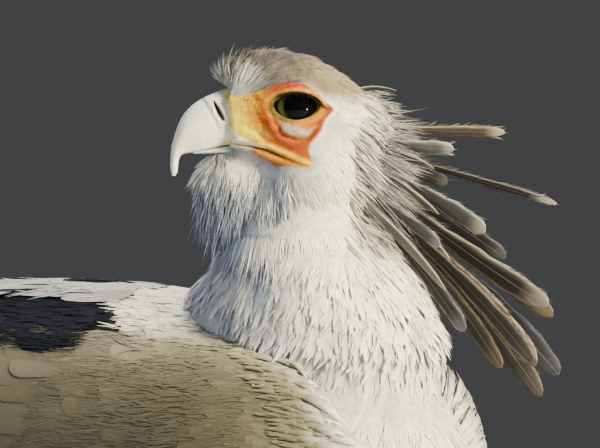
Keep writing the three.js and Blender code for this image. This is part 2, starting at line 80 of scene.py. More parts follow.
# ------------------------------------------------------------------ the bird's sizes
P_BODY = 2.2
TRUNK = [  # f, top z, bottom z, half width
    (-262, 784, 728, 26), (-240, 792, 712, 40), (-200, 802, 686, 58), (-140, 811, 655, 77),
    (-80, 816, 633, 88), (-20, 819, 621, 92), (40, 820, 618, 91), (90, 819, 627, 86),
    (120, 814, 641, 78), (145, 802, 662, 63), (161, 787, 688, 43), (171, 770, 714, 26), (175, 752, 738, 7)]
CORE = [(-490, 744, 716, 9), (-470, 750, 712, 12), (-400, 766, 704, 18), (-330, 778, 708, 23)] + TRUNK
WING = [  # f, upper edge, lower edge (degrees up from the side), thickness
    (-486, 8, -8, 1.6), (-470, 34, -30, 3), (-430, 58, -42, 4), (-380, 68, -44, 5), (-320, 72, -42, 6.5),
    (-260, 75, -40, 8), (-200, 77, -37, 9), (-100, 78, -33, 10), (-20, 77, -31, 10), (20, 77, -31, 10.5),
    (48, 71, -31, 11), (84, 61, -30, 11.5), (108, 51, -26, 11.5), (126, 41, -20, 11), (136, 30, -11, 10), (142, 15, -3, 8.5)]
NECK = [  # z, centre x, centre f, half width across, fore and aft
    (745, 0, 84, 52, 76), (775, 0, 83, 58, 83), (800, 0, 82, 62, 85), (820, 0, 83, 64, 84), (838, 0, 81, 60, 76),
    (855, 0, 81.7, 52, 60), (870, -1, 78, 44, 47), (888, -2, 78, 34, 35.5), (902, 1, 84, 34, 35), (916, 2, 86, 31, 32), (930, 2, 86, 22, 24)]
HEAD = [  # forward X, top, bottom, half width, in the head's own axes
    (-36, 5, -8, 5), (-34.5, 10, -16, 13), (-30, 16.5, -27, 20.5), (-21, 23.5, -36, 25.5), (-9, 30, -40, 28.5),
    (3, 34.5, -40, 27.5), (14, 37, -37, 25.5), (26, 37, -33, 23), (36, 34.5, -30.5, 20), (44, 31, -28.5, 16.5), (49, 27, -27, 13.5)]
BILL_UPPER = [  # top X, top Z, lower X, lower Z, half width
    (45, 13.2, 26.5, -17.4, 12.4), (52.1, 10.1, 38.4, -17.9, 11.4), (56.7, 7.6, 45.8, -19.3, 10.6), (61.7, 4.4, 56.2, -22.9, 9.4),
    (68, -1.2, 61.9, -25.1, 7.8), (72.4, -9, 65.6, -26.1, 6.2), (74.4, -17.4, 68.4, -27.1, 4.8), (75.2, -24.7, 70.1, -28.9, 3.6),
    (74.7, -32.9, 70.5, -31.7, 2.5), (73.9, -36.6, 70.3, -36.6, 1.8), (72.9, -39.6, 71.1, -39.6, 0.8)]
BILL_LOWER = [
    (4, -21.5, 5, -27.2, 13.2), (15.8, -19.2, 17.3, -28.1, 12.6), (24.3, -17.6, 27.5, -25.3, 11.4), (35.7, -17.6, 36, -23.6, 9.6),
    (45.8, -19.3, 45.3, -23.9, 7.8), (56.2, -22.8, 54.9, -25.1, 5.4), (63.6, -25.2, 63.2, -26.3, 2.6)]
EYE_AT, EYE_R = np.array([12.2, 14.4, 8.8]), 13.0


class Curve:
    """Smooth, overshoot-free curve through rows; the first column is the station."""

    def __init__(self, rows):
        r = np.array(rows, float)
        self.x, self.y = r[:, 0], r[:, 1:]
        d = np.diff(self.y, axis=0) / np.diff(self.x)[:, None]
        m = np.zeros_like(self.y)
        m[0], m[-1] = d[0], d[-1]
        a, b = d[:-1], d[1:]
        ok = a * b > 0
        m[1:-1] = np.where(ok, 2 * a * b / np.where(ok, a + b, 1), 0)
        self.m = m

    def __call__(self, t):
        t = np.clip(np.asarray(t, float), self.x[0], self.x[-1])
        i = np.clip(np.searchsorted(self.x, t, side="right") - 1, 0, len(self.x) - 2)
        h = self.x[i + 1] - self.x[i]
        u = ((t - self.x[i]) / h)[..., None]
        h = h[..., None]
        v = (self.y[i] * (1 + 2 * u) * (1 - u) ** 2 + self.m[i] * h * u * (1 - u) ** 2
             + self.y[i + 1] * u * u * (3 - 2 * u) + self.m[i + 1] * h * u * u * (u - 1))
        return [v[..., k] for k in range(v.shape[-1])]


trunk_at, core_at, wing_at, neck_at, head_at = Curve(TRUNK), Curve(CORE), Curve(WING), Curve(NECK), Curve(HEAD)

# The head's own axes
HEAD_AT = np.array([2.0, -84.0, 932.0])
FLAT = -RIGHT * math.cos(rad(4)) + NEAR * math.sin(rad(4))
E1 = FLAT * math.cos(rad(8)) + np.array([0, 0, math.sin(rad(8))])
E2 = np.array([-FLAT[1], FLAT[0], 0.0])
E3 = np.cross(E1, E2)
HEAD_AXES = np.array([E1, E2, E3])


def to_head(p):
    return (p - HEAD_AT) @ HEAD_AXES.T


def from_head(q):
    return np.asarray(q, float) @ HEAD_AXES + HEAD_AT


# ------------------------------------------------------------------ distance fields for the flesh
def smin(a, b, k):
    h = np.clip(0.5 + 0.5 * (b - a) / k, 0, 1)
    return b + (a - b) * h - k * h * (1 - h)


def smax(a, b, k):
    return -smin(-a, -b, k)


def section(u, v, w, h, pw, ph):
    rho = np.hypot(u, v)
    q = (np.abs(u / w) ** pw + np.abs(v / h) ** ph) ** (2 / (pw + ph))
    return rho - rho / np.maximum(q, 1e-6) + np.where(q < 1e-6, -np.minimum(w, h), 0)


def f_trunk(p):
    f = -p[:, 1]
    t = np.clip(f, TRUNK[0][0], TRUNK[-1][0])
    top, low, w = trunk_at(t)
    d = section(p[:, 0], p[:, 2] - (top + low) / 2, w, (top - low) / 2, P_BODY, P_BODY)
    over = np.abs(f - t)
    return np.where(over > 0, np.hypot(np.maximum(d, 0), over), d)


def f_neck(p):
    z = p[:, 2]
    t = np.clip(z, NECK[0][0], NECK[-1][0])
    x, f, rx, rf = neck_at(t)
    d = section(p[:, 0] - x, -p[:, 1] - f, rx, rf, 2, 2)
    over = np.abs(z - t)
    return np.where(over > 0, np.hypot(np.maximum(d, 0), over), d)


def f_head(q):
    x = q[:, 0]
    t = np.clip(x, HEAD[0][0], HEAD[-1][0])
    top, low, w = head_at(t)
    d = section(q[:, 1], q[:, 2], w, np.where(q[:, 2] > 0, top, -low), 2.17, 2)
    over = np.abs(x - t)
    return np.where(over > 0, np.hypot(np.maximum(d, 0), over), d)


def f_ball(q, at, size):
    s = np.array(size, float)
    r = (q - np.array(at, float)) / s
    k = np.linalg.norm(r, axis=1)
    return (k - 1) * s.min()


def to_line(x, z, path):
    """Distance in the side view from points to a line through path, and how far along it the nearest point is."""
    best, where = np.full(x.shape, 1e9), np.zeros(x.shape)
    path = np.array(path, float)
    seg = np.linalg.norm(np.diff(path, axis=0), axis=1)
    run = np.concatenate([[0], np.cumsum(seg)])
    for i in range(len(path) - 1):
        a, b = path[i], path[i + 1]
        ab = b - a
        t = np.clip(((x - a[0]) * ab[0] + (z - a[1]) * ab[1]) / (ab @ ab), 0, 1)
        d = np.hypot(x - a[0] - t * ab[0], z - a[1] - t * ab[1])
        near = d < best
        best = np.where(near, d, best)
        where = np.where(near, (run[i] + t * seg[i]) / run[-1], where)
    return best, where


# Bare face: its outline in the head's side view (X forward, Z up)
FACE = np.array([(56, 7), (46, 8.4), (38.6, 10.6), (29.7, 15.4), (23.7, 18.6), (16.5, 21.2), (10, 20.2), (3.6, 17.2), (-1.5, 13.2), (-7, 9.6),
                 (-3.2, 4), (-1.4, -3), (3, -10), (3.6, -14), (0.6, -21.6), (4.6, -23.4), (12, -23.6), (19, -25.6), (27, -22.6), (35, -19.4), (46, -18.6), (56, -20)])


def patch_depth(x, z, outline):
    """How far inside an outline in the side view a point lies, negative outside it."""
    inside = np.zeros(x.shape, bool)
    n = len(outline)
    for i in range(n):
        (x0, z0), (x1, z1) = outline[i], outline[(i + 1) % n]
        cross = ((z0 > z) != (z1 > z)) & (x < (x1 - x0) * (z - z0) / (z1 - z0 if z1 != z0 else 1e-9) + x0)
        inside ^= cross
    d, _ = to_line(x, z, np.vstack([outline, outline[:1]]))
    return np.where(inside, d, -d)


def face_depth(x, z):
    return patch_depth(x, z, FACE)


# The pale pouch under the eye
POUCH = np.array([(22.2, 0.2), (18.4, -5.6), (14.6, -7.9), (10, -8.4), (6, -8.1), (4.0, -5.2), (2.0, -0.9), (6, -2.0), (10.4, -2.4), (15, -1.9), (18.6, -0.6)])


EYE_TILT = rad(-8)


def lid_opening(x, z):
    """About the distance in the side view from the eyelids' edge, negative inside the opening."""
    u, v = x - 13.6, z - 8.2
    c, s = math.cos(EYE_TILT), math.sin(EYE_TILT)
    u, v = u * c + v * s, -u * s + v * c
    half = np.where(v > 0, 7.5, 7.6)
    q = (np.abs(u / 12.3) ** 1.8 + np.abs(v / half) ** 1.95) ** 0.53
    return (q - 1) * 8.0


RIDGES = [  # side-view lines raised (+) or sunk (-) on the face: path, half width, height
    ([(37, 9.2), (30, 13.2), (23, 17.4), (15, 19.4), (7, 17.6), (0, 13.6), (-4.6, 10.2)], 2.6, 1.6),
    ([(28.4, 2), (25.6, -4), (20, -10), (12, -12.6), (5, -11.4), (0.6, -5), (-1.6, 2)], 1.9, 1.25),
    ([(27.4, 5), (24.2, -1.6), (18.4, -7.4), (11, -10), (5, -8.6), (1.4, -3)], 1.0, -0.9),
    ([(24.5, 17.2), (17, 17.4), (9.5, 16.6), (2, 13.4)], 0.9, -0.7),
    ([(46, -15.2), (36, -14.2), (26, -15), (16, -17.6), (7, -19.6), (1.6, -20.4)], 1.8, 1.3),
    ([(48, -17.2), (36, -16.5), (26, -17.4), (16, -20), (7, -21.8), (2.4, -22.4)], 0.75, -1.7),
    ([(42, -18.6), (34, -18.7), (26, -20), (17, -22.3), (8, -23.4), (3, -23.4)], 1.5, 0.9),
    ([(34, -20.4), (27, -22), (19, -24.8)], 1.2, 0.6),
    ([(33, -9), (25, -12.4), (15, -15.4), (7, -16.6)], 0.9, -0.5),
    ([(40, -6), (32, -9), (26, -14)], 1.1, -0.45),
    ([(36, 3), (31, -3), (29, -9)], 1.0, -0.4),
]
COAT_HEAD, COAT_NECK, COAT_BODY = 2.6, 4.6, 8.0


def wing_mask(p):
    """1 where the folded wing covers the body, 0 elsewhere, with a soft rim."""
    f = -p[:, 1]
    top, low, w = core_at(f)
    ang = np.degrees(np.arctan2((p[:, 2] - (top + low) / 2) / (top - low) * 2, np.abs(p[:, 0]) / w))
    up, lo, _ = wing_at(f)
    m = step(-3, 4, up - ang) * step(-3, 4, ang - lo)
    return m * step(141, 131, f) * (f > -275)


def f_flesh(p, fine=True):
    q = to_head(p)
    x, y, z = q[:, 0], np.abs(q[:, 1]), q[:, 2]
    side = np.stack([x, y, z], 1)
    bare = step(-2.2, 2.0, face_depth(x, z)) * step(3, 8, y) * (x > -12)
    depth = mix(COAT_HEAD, 0.2, bare)
    head = f_head(q) + depth
    if fine:
        for path, width, height in RIDGES:
            d, t = to_line(x, z, path)
            head = head - height * np.exp(-(d / width) ** 2) * step(4, 9, y) * step(0, 0.12, t) * step(1, 0.88, t)
        head = head + 1.0 * np.exp(-((x - 36) / 8) ** 2 - ((z + 1) / 7) ** 2) * step(8, 14, y)
        lid = f_ball(side, EYE_AT + [0.6, 0.3, 0], [EYE_R + 1.5] * 3)
        head = smin(head, np.maximum(lid, 14 - y), 2.5)
        pouch = f_ball(side, [11.6, 24.2, -4.9], [9.0, 3.8, 3.6])
        head = smin(head, pouch, 2.0)
        ball = np.linalg.norm(side - EYE_AT, axis=1) - EYE_R
        edge = lid_opening(x, z)
        head = smax(head, -np.maximum(edge, 17 - y), 0.7)
        head = np.maximum(head, -(ball - 0.12))
        rim = np.hypot(edge - 0.5, ball - 0.75) - np.where(z > 9, 1.25, 1.0)
        head = smin(head, np.maximum(rim, 18 - y), 1.0)
    head = smax(head, x - 47.6 - 0.3 * np.clip(z, -12, 8), 1.2)
    brow = f_ball(q, [40, 0, 17.5], [14.5, 10, 8])
    chin = f_ball(q, [37, 0, -37], [21, 11, 17])
    head = smin(head, brow, 4)
    head = smin(head, chin, 6)
    up = step(835, 905, p[:, 2])
    neck = f_neck(p) + mix(COAT_BODY, COAT_NECK, up)
    trunk = f_trunk(p) + mix(COAT_BODY, -3.5, wing_mask(p))
    d = smin(head, neck, 5)
    d = smin(d, trunk, 10)
    for s in (1, -1):
        d = smin(d, f_thigh(p, s), 9)
    return d


# Legs
HIP = np.array([46.0, 10.0, 668.0])
FEET = {1: -6.0, -1: -56.0}
FOOT_X, ANKLE_Z, FOOT_Z, ANKLE_BACK = 56.0, 338.0, 24.0, 52.0
THIGH = [(0, 44, 26), (0.1, 54, 35), (0.22, 54, 36), (0.36, 45, 31), (0.52, 34, 25), (0.68, 25, 19.5), (0.8, 18.5, 15), (0.88, 14, 12), (0.93, 9, 8)]
SHANK = [(16, 8.4, 8.6), (34, 8.6, 8), (60, 8, 6.9), (120, 7.6, 6.6), (200, 7.8, 6.8), (270, 8.6, 7.2), (305, 10.6, 8.6),
         (330, 13, 10.4), (345, 12.6, 10), (362, 9.2, 8), (385, 7.6, 7), (405, 7, 6.4)]
TOES = [("mid", 2, 66, 7.4, 17), ("inner", -34, 47, 7, 17), ("outer", 36, 49, 7, 14), ("hind", 176, 26, 6.4, 15)]
thigh_at, shank_at = Curve(THIGH), Curve(SHANK)


def leg_points(s):
    hip = np.array([s * HIP[0], HIP[1], HIP[2]])
    ankle = np.array([s * (FOOT_X - 3), -(FEET[s] - ANKLE_BACK), ANKLE_Z])
    sole = np.array([s * FOOT_X, -FEET[s], FOOT_Z])
    return hip, ankle, sole


def thigh_frame(s):
    hip, ankle, _ = leg_points(s)
    d = unit(ankle - hip)
    side = np.array([1.0, 0, 0])
    return hip, ankle, d, unit(np.cross(d, side)), side


def f_thigh(p, s):
    hip, ankle, d, fore, side = thigh_frame(s)
    length = np.linalg.norm(ankle - hip)
    t = ((p - hip) @ d) / length
    tc = np.clip(t, 0.0, 0.93)
    a, b = thigh_at(tc)
    c = hip + (ankle - hip) * tc[:, None]
    inset = mix(9, 2.5, step(0.3, 0.9, tc))
    r = p - c
    dist = section(r @ fore, r @ side, np.maximum(a - inset, 4), np.maximum(b - inset, 4), 2, 2)
    over = np.abs(t - tc) * length
    return np.where(over > 0, np.hypot(np.maximum(dist, 0), over), dist)


def shank_centre(z, s):
    hip, ankle, sole = leg_points(s)
    z = np.asarray(z, float)[..., None]
    low = sole + (ankle - sole) * (z - sole[2]) / (ankle[2] - sole[2])
    high = ankle + (hip - ankle) * (z - ankle[2]) / (hip[2] - ankle[2])
    return low + (high - low) * step(ANKLE_Z - 16, ANKLE_Z + 16, z)


def toe_axes(s, toe):
    a = rad(toe[1])
    d = np.array([s * math.sin(a), -math.cos(a), 0.0])
    return d, np.array([s * FOOT_X, -FEET[s], 0.0]), np.array([d[1], -d[0], 0.0])


def f_leg(p, s):
    z = p[:, 2]
    t = np.clip(z, SHANK[0][0], 416)
    a, b = shank_at(t)
    c = shank_centre(t, s)
    d = section(-(p[:, 1] - c[:, 1]), p[:, 0] - c[:, 0], a, b, 2, 2)
    over = np.abs(z - t)
    d = np.where(over > 0, np.hypot(np.maximum(d, 0), over), d)
    hub = np.array([s * FOOT_X, -FEET[s], 13.2])
    d = smin(d, f_ball(p, hub, [11.5, 13, 13.4]), 5)
    for toe in TOES:
        dirn, base, across = toe_axes(s, toe)
        length, r = toe[2], toe[3]
        along = (p - base) @ dirn
        u = np.clip((along - 2) / (length - 2), 0, 1)
        rr = r * (1.12 - 0.34 * u) * (1 + 0.09 * np.cos(u * math.pi * 6))
        lift = rr * 0.86 + 5 * (1 - u) ** 3
        c = base + dirn * (2 + (length - 2) * u)[:, None]
        c[:, 2] = lift
        d = smin(d, np.linalg.norm(p - c, axis=1) - rr, 3)
    return smax(d, -z, 1.2)


# ------------------------------------------------------------------ surface from a field
def surface(field, lo, hi, h, settle=2):
    """Closed quad mesh of the field's zero level, as points and quads, by placing one point in each crossed cell."""
    lo, hi = np.array(lo, float), np.array(hi, float)
    n = np.ceil((hi - lo) / h / 4).astype(int) * 4 + 1
    coarse = [lo[i] + np.arange(0, n[i], 4) * h for i in range(3)]
    g = np.stack(np.meshgrid(*coarse, indexing="ij"), -1).reshape(-1, 3)
    dc = field(g).reshape([len(c) for c in coarse])
    near = np.abs(dc) < 4 * h * 2.4
    cell = np.zeros([len(c) - 1 for c in coarse], bool)
    for i in (0, 1):
        for j in (0, 1):
            for k in (0, 1):
                cell |= near[i:i + cell.shape[0], j:j + cell.shape[1], k:k + cell.shape[2]]
    val = np.repeat(np.repeat(np.repeat(dc[:-1, :-1, :-1], 4, 0), 4, 1), 4, 2)
    full = np.empty(n)
    full[:-1, :-1, :-1] = val
    full[-1], full[:, -1], full[:, :, -1] = 1e3, 1e3, 1e3
    mask = np.zeros(n, bool)
    c4 = np.repeat(np.repeat(np.repeat(cell, 4, 0), 4, 1), 4, 2)
    for i in (0, 1):
        for j in (0, 1):
            for k in (0, 1):
                mask[i:i + c4.shape[0], j:j + c4.shape[1], k:k + c4.shape[2]] |= c4
    ids = np.argwhere(mask)
    full[mask] = field(lo + ids * h)
    inside = full < 0
    c = [inside[i:n[0] - 1 + i, j:n[1] - 1 + j, k:n[2] - 1 + k] for i in (0, 1) for j in (0, 1) for k in (0, 1)]
    count = sum(x.astype(np.int8) for x in c)
    act = (count > 0) & (count < 8)
    cells = np.argwhere(act)
    index = np.full(act.shape, -1)
    index[act] = np.arange(len(cells))
    total, hits = np.zeros((len(cells), 3)), np.zeros(len(cells))
    corner = [(i, j, k) for i in (0, 1) for j in (0, 1) for k in (0, 1)]
    for a in range(8):
        for b in range(a + 1, 8):
            A, B = np.array(corner[a]), np.array(corner[b])
            if np.abs(A - B).sum() != 1:
                continue
            va = full[tuple((cells + A).T)]
            vb = full[tuple((cells + B).T)]
            x = (va < 0) != (vb < 0)
            t = np.clip(va / np.where(x, va - vb, 1), 0, 1)
            total += np.where(x[:, None], A + (B - A) * t[:, None], 0)
            hits += x
    pts = lo + (cells + total / hits[:, None]) * h
    quads = []
    for ax in range(3):
        sl0 = [slice(None)] * 3
        sl1 = [slice(None)] * 3
        sl0[ax], sl1[ax] = slice(0, -1), slice(1, None)
        a, b = inside[tuple(sl0)], inside[tuple(sl1)]
        e = np.argwhere(a != b)
        u, v = (ax + 1) % 3, (ax + 2) % 3
        e = e[(e[:, u] > 0) & (e[:, v] > 0) & (e[:, u] < n[u] - 1) & (e[:, v] < n[v] - 1)]
        q = []
        for du, dv in ((0, 0), (1, 0), (1, 1), (0, 1)):
            s = e.copy()
            s[:, u] -= 1 - du
            s[:, v] -= 1 - dv
            q.append(index[tuple(s.T)])
        q = np.stack(q, 1)
        out = a[tuple(e.T)]
        q[~out] = q[~out][:, ::-1]
        quads.append(q)
    quads = np.concatenate(quads)
    quads = quads[(quads >= 0).all(1)]
    for _ in range(settle):
        d = field(pts)
        g = gradient(field, pts)
        move = d[:, None] * g
        size = np.linalg.norm(move, axis=1, keepdims=True)
        pts = pts - move * np.minimum(1, 0.6 * h / np.maximum(size, 1e-9))
    return pts, quads


def gradient(field, p, e=0.35):
    g = np.stack([field(p + np.eye(3)[i] * e) - field(p - np.eye(3)[i] * e) for i in range(3)], 1)
    return unit(g)


# ------------------------------------------------------------------ meshes
def make(name, co, quads=None, tris=None, uvs=None, attrs=None, normals=None, smooth=True):
    """A mesh object from arrays in millimetres; uvs and attrs are per point."""
    me = bpy.data.meshes.new(name)
    co = place(co)
    quads = np.zeros((0, 4), int) if quads is None else np.asarray(quads)
    tris = np.zeros((0, 3), int) if tris is None else np.asarray(tris)
    loops = np.concatenate([quads.ravel(), tris.ravel()]).astype(np.int32)
    starts = np.concatenate([np.arange(len(quads)) * 4, len(quads) * 4 + np.arange(len(tris)) * 3]).astype(np.int32)
    me.vertices.add(len(co))
    me.vertices.foreach_set("co", co.astype(np.float32).ravel())
    me.loops.add(len(loops))
    me.loops.foreach_set("vertex_index", loops)
    me.polygons.add(len(starts))
    me.polygons.foreach_set("loop_start", starts)
    me.update(calc_edges=True)
    for key, uv in (uvs or {}).items():
        layer = me.uv_layers.new(name=key)
        layer.uv.foreach_set("vector", np.asarray(uv, np.float32)[loops].ravel())
    for key, val in (attrs or {}).items():
        val = np.asarray(val, np.float32)
        if val.ndim == 2:
            a = me.color_attributes.new(key, "FLOAT_COLOR", "POINT")
            a.data.foreach_set("color", np.concatenate([val, np.ones((len(val), 1), np.float32)], 1).ravel())
        else:
            a = me.attributes.new(key, "FLOAT", "POINT")
            a.data.foreach_set("value", val)
    me.polygons.foreach_set("use_smooth", np.full(len(starts), smooth))
    if normals is not None:
        me.normals_split_custom_set_from_vertices(normals.astype(np.float32))
    me.update()
    ob = bpy.data.objects.new(name, me)
    bpy.context.scene.collection.objects.link(ob)
    return ob


def finish_piece(ob, material, replaces=()):
    ob.data.materials.append(material)
    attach(ob, "root")
    if replaces:
        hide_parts(*replaces)
    return ob


def lofted(rings, cap=True):
    """Rings (R, N, 3) as points, quads and end-cap triangles."""
    r, n = rings.shape[:2]
    i = np.arange(r - 1)[:, None] * n
    k = np.arange(n)[None]
    k2 = (k + 1) % n
    quads = np.stack([i + k, i + k2, i + n + k2, i + n + k], -1).reshape(-1, 4)
    pts = rings.reshape(-1, 3)
    if not cap:
        return pts, quads, None
    pts = np.vstack([pts, rings[0].mean(0), rings[-1].mean(0)])
    k, k2 = k[0], k2[0]
    a, b, last = r * n, r * n + 1, (r - 1) * n
    tris = np.concatenate([np.stack([np.full(n, a), k2, k], 1), np.stack([np.full(n, b), last + k, last + k2], 1)])
    vol = np.einsum("ij,ij->i", rings[:-1].reshape(-1, 3) - rings.mean((0, 1)), np.cross(rings[1:].reshape(-1, 3) - rings.mean((0, 1)), np.roll(rings, -1, 1)[:-1].reshape(-1, 3) - rings.mean((0, 1)))).sum()
    if vol > 0:
        quads, tris = quads[:, ::-1], tris[:, ::-1]
    return pts, quads, tris


# ------------------------------------------------------------------ looks
def srgb(*c):
    c = np.array(c, float) / 255
    return np.where(c <= 0.04045, c / 12.92, ((c + 0.055) / 1.055) ** 2.4)


class Look:
    """A small helper that lays out shader nodes."""

    def __init__(self, name, rough=0.5, **sockets):
        self.m = bpy.data.materials.new(name)
        self.m.use_nodes = True
        self.t = self.m.node_tree
        self.b = self.t.nodes["Principled BSDF"]
        self.b.inputs["Roughness"].default_value = rough
        for k, v in sockets.items():
            self.b.inputs[k.replace("_", " ")].default_value = v

    def n(self, kind, **kw):
        node = self.t.nodes.new("ShaderNode" + kind)
        for k, v in kw.items():
            if k in node.inputs:
                node.inputs[k].default_value = v
            else:
                setattr(node, k, v)
        return node

    def to(self, a, b, out=0, inp=0):
        self.t.links.new(a.outputs[out], b.inputs[inp])
        return b

    def attr(self, name):
        return self.n("Attribute", attribute_name=name)

    def ramp(self, stops, src=None, out=0, interp="LINEAR"):
        r = self.n("ValToRGB")
        r.color_ramp.interpolation = interp
        while len(r.color_ramp.elements) < len(stops):
            r.color_ramp.elements.new(0.5)
        for e, (p, c) in zip(r.color_ramp.elements, stops):
            e.position = p
            e.color = (*c, 1) if len(np.shape(c)) and len(c) == 3 else (c, c, c, 1)
        if src is not None:
            self.to(src, r, out)
        return r

    def blend(self, kind, fac, a, b, fac_out=0, a_out=0, b_out=0):
        m = self.n("Mix", data_type="RGBA", blend_type=kind)
        for src, i, o in ((fac, 0, fac_out), (a, 6, a_out), (b, 7, b_out)):
            if isinstance(src, (int, float)):
                m.inputs[i].default_value = src
            elif isinstance(src, (tuple, list, np.ndarray)):
                m.inputs[i].default_value = (*src, 1)
            else:
                self.t.links.new(src.outputs[o], m.inputs[i])
        return m

    def bump(self, src, strength=0.3, dist=0.0004, out=0, normal=None):
        b = self.n("Bump", Strength=strength, Distance=dist)
        self.t.links.new(src.outputs[out], b.inputs["Height"])
        if normal is not None:
            self.t.links.new(normal.outputs[0], b.inputs["Normal"])
        return b

    def colour(self, node, out=0):
        self.t.links.new(node.outputs[out], self.b.inputs["Base Color"])

    def normal(self, node):
        self.t.links.new(node.outputs[0], self.b.inputs["Normal"])


def plumage_look(name, barbs=90.0, slant=26.0, depth=0.5, rough=0.85, sheen=0.15, shaft=0.0, shaft_colour=(0.02, 0.02, 0.02), contrast=0.25):
    """Feather colour from the mesh, broken up by fine barbs that run out from the shaft."""
    L = Look(name, rough, Sheen_Weight=sheen)
    L.b.inputs["Sheen Roughness"].default_value = 0.5
    L.b.inputs["Specular IOR Level"].default_value = 0.25
    uv = L.n("UVMap", uv_map="barb")
    sep = L.n("SeparateXYZ")
    L.to(uv, sep)
    side = L.n("Math", operation="ABSOLUTE")
    L.to(sep, side, 0)
    run = L.n("Math", operation="MULTIPLY_ADD")
    L.t.links.new(sep.outputs[1], run.inputs[0])
    run.inputs[1].default_value = barbs
    k = L.n("Math", operation="MULTIPLY")
    L.to(side, k)
    k.inputs[1].default_value = -slant
    L.t.links.new(k.outputs[0], run.inputs[2])
    rnd = L.attr("rnd")
    vec = L.n("CombineXYZ")
    L.t.links.new(run.outputs[0], vec.inputs[0])
    s2 = L.n("Math", operation="MULTIPLY")
    L.to(sep, s2)
    s2.inputs[1].default_value = 1.2
    L.t.links.new(s2.outputs[0], vec.inputs[1])
    r2 = L.n("Math", operation="MULTIPLY")
    L.to(rnd, r2, 2)
    r2.inputs[1].default_value = 37.0
    L.t.links.new(r2.outputs[0], vec.inputs[2])
    noise = L.n("TexNoise", Scale=1.0, Detail=2.0, Roughness=0.6)
    L.to(vec, noise)
    shade = L.ramp([(0.3, 1 - contrast), (0.5, 1.0), (0.7, 1 + contrast * 0.6)], noise)
    col = L.attr("col")
    out = L.blend("MULTIPLY", 1.0, col, shade)
    last = out
    if shaft:
        r = L.ramp([(0.0, 1.0), (shaft, 0.75), (shaft * 1.6, 0.0)], side)
        last = L.blend("MIX", r, out, shaft_colour, a_out=2)
    L.colour(last, 2)
    L.normal(L.bump(noise, depth, 0.0003))
    return L.m


# ------------------------------------------------------------------ feathers
class Blade:
    """Template of one closed feather or strand: s along it, t across it, h through its thickness."""

    def __init__(self, rings, across):
        s, t, h, quads, tris = [], [], [], [], []
        if across == 0:
            ring = [(-1, -0.35), (1, -0.35), (0, 1)]
        else:
            ring = [(x, 0.0 if abs(x) == 1 else 1.0) for x in np.linspace(-1, 1, 2 * across + 1)]
            ring += [(x, -1.0) for x in np.linspace(1, -1, 2 * across + 1)[1:-1]]
            if across == 1:
                ring = [(-1, 0), (0, 1), (1, 0), (0, -1)]
        n = len(ring)
        for i, u in enumerate(rings[:-1]):
            for a, b in ring:
                s.append(u), t.append(a), h.append(b)
        s.append(rings[-1]), t.append(0), h.append(0)
        for i in range(len(rings) - 2):
            for k in range(n):
                a, b = i * n + k, i * n + (k + 1) % n
                quads.append((a, a + n, b + n, b))
        last = (len(rings) - 2) * n
        for k in range(n):
            tris.append((last + k, last + n, last + (k + 1) % n))
        for k in range(1, n - 1):
            tris.append((0, k, k + 1))
        self.s, self.t, self.h = map(np.array, (s, t, h))
        self.q, self.tr = np.array(quads), np.array(tris)
        # turn the template's faces outwards
        p = np.stack([self.s * 10, self.t, self.h], 1)
        allt = np.concatenate([self.q[:, [0, 1, 2]], self.q[:, [0, 2, 3]], self.tr])
        v = np.einsum("ij,ij->i", p[allt[:, 0]], np.cross(p[allt[:, 1]], p[allt[:, 2]])).sum()
        if v < 0:
            self.q, self.tr = self.q[:, ::-1], self.tr[:, ::-1]
        self.hand = 1


HAIR = Blade([0, 0.46, 1], 0)
HAIR_LONG = Blade([0, 0.3, 0.66, 1], 0)
VANE = Blade([0, 0.2, 0.5, 0.78, 0.94, 1], 1)
VANE_FINE = Blade([0, 0.08, 0.2, 0.34, 0.5, 0.64, 0.77, 0.88, 0.95, 0.985, 1], 2)
QUILL = Blade(list(1 - (1 - np.linspace(0, 1, 22)) ** 1.35), 3)


def outline(kind, s):
    if kind == "hair":
        return np.interp(s, [0, 0.3, 0.7, 1], [0.75, 1.0, 0.7, 0.1])
    if kind == "body":
        return np.interp(s, [0, 0.2, 0.5, 0.78, 0.94, 1], [0.3, 0.72, 1.0, 0.92, 0.5, 0.05])
    if kind == "lance":
        return np.interp(s, [0, 0.2, 0.5, 0.78, 0.94, 1], [0.4, 0.85, 1.0, 0.62, 0.24, 0.04])
    if kind == "covert":
        return np.interp(s, [0, 0.2, 0.5, 0.77, 0.88, 0.95, 0.985, 1], [0.35, 0.8, 1.0, 0.98, 0.84, 0.58, 0.32, 0.04])
    if kind == "quill":
        return np.interp(s, [0, 0.06, 0.2, 0.6, 0.86, 0.95, 0.985, 1], [0.16, 0.5, 0.85, 1.0, 0.86, 0.56, 0.3, 0.04])
    if kind == "crest":
        return np.interp(s, [0, 0.15, 0.4, 0.6, 0.78, 0.92, 0.965, 0.99, 1], [0.2, 0.26, 0.5, 0.82, 1.0, 0.96, 0.74, 0.42, 0.06])
    return np.ones_like(s)


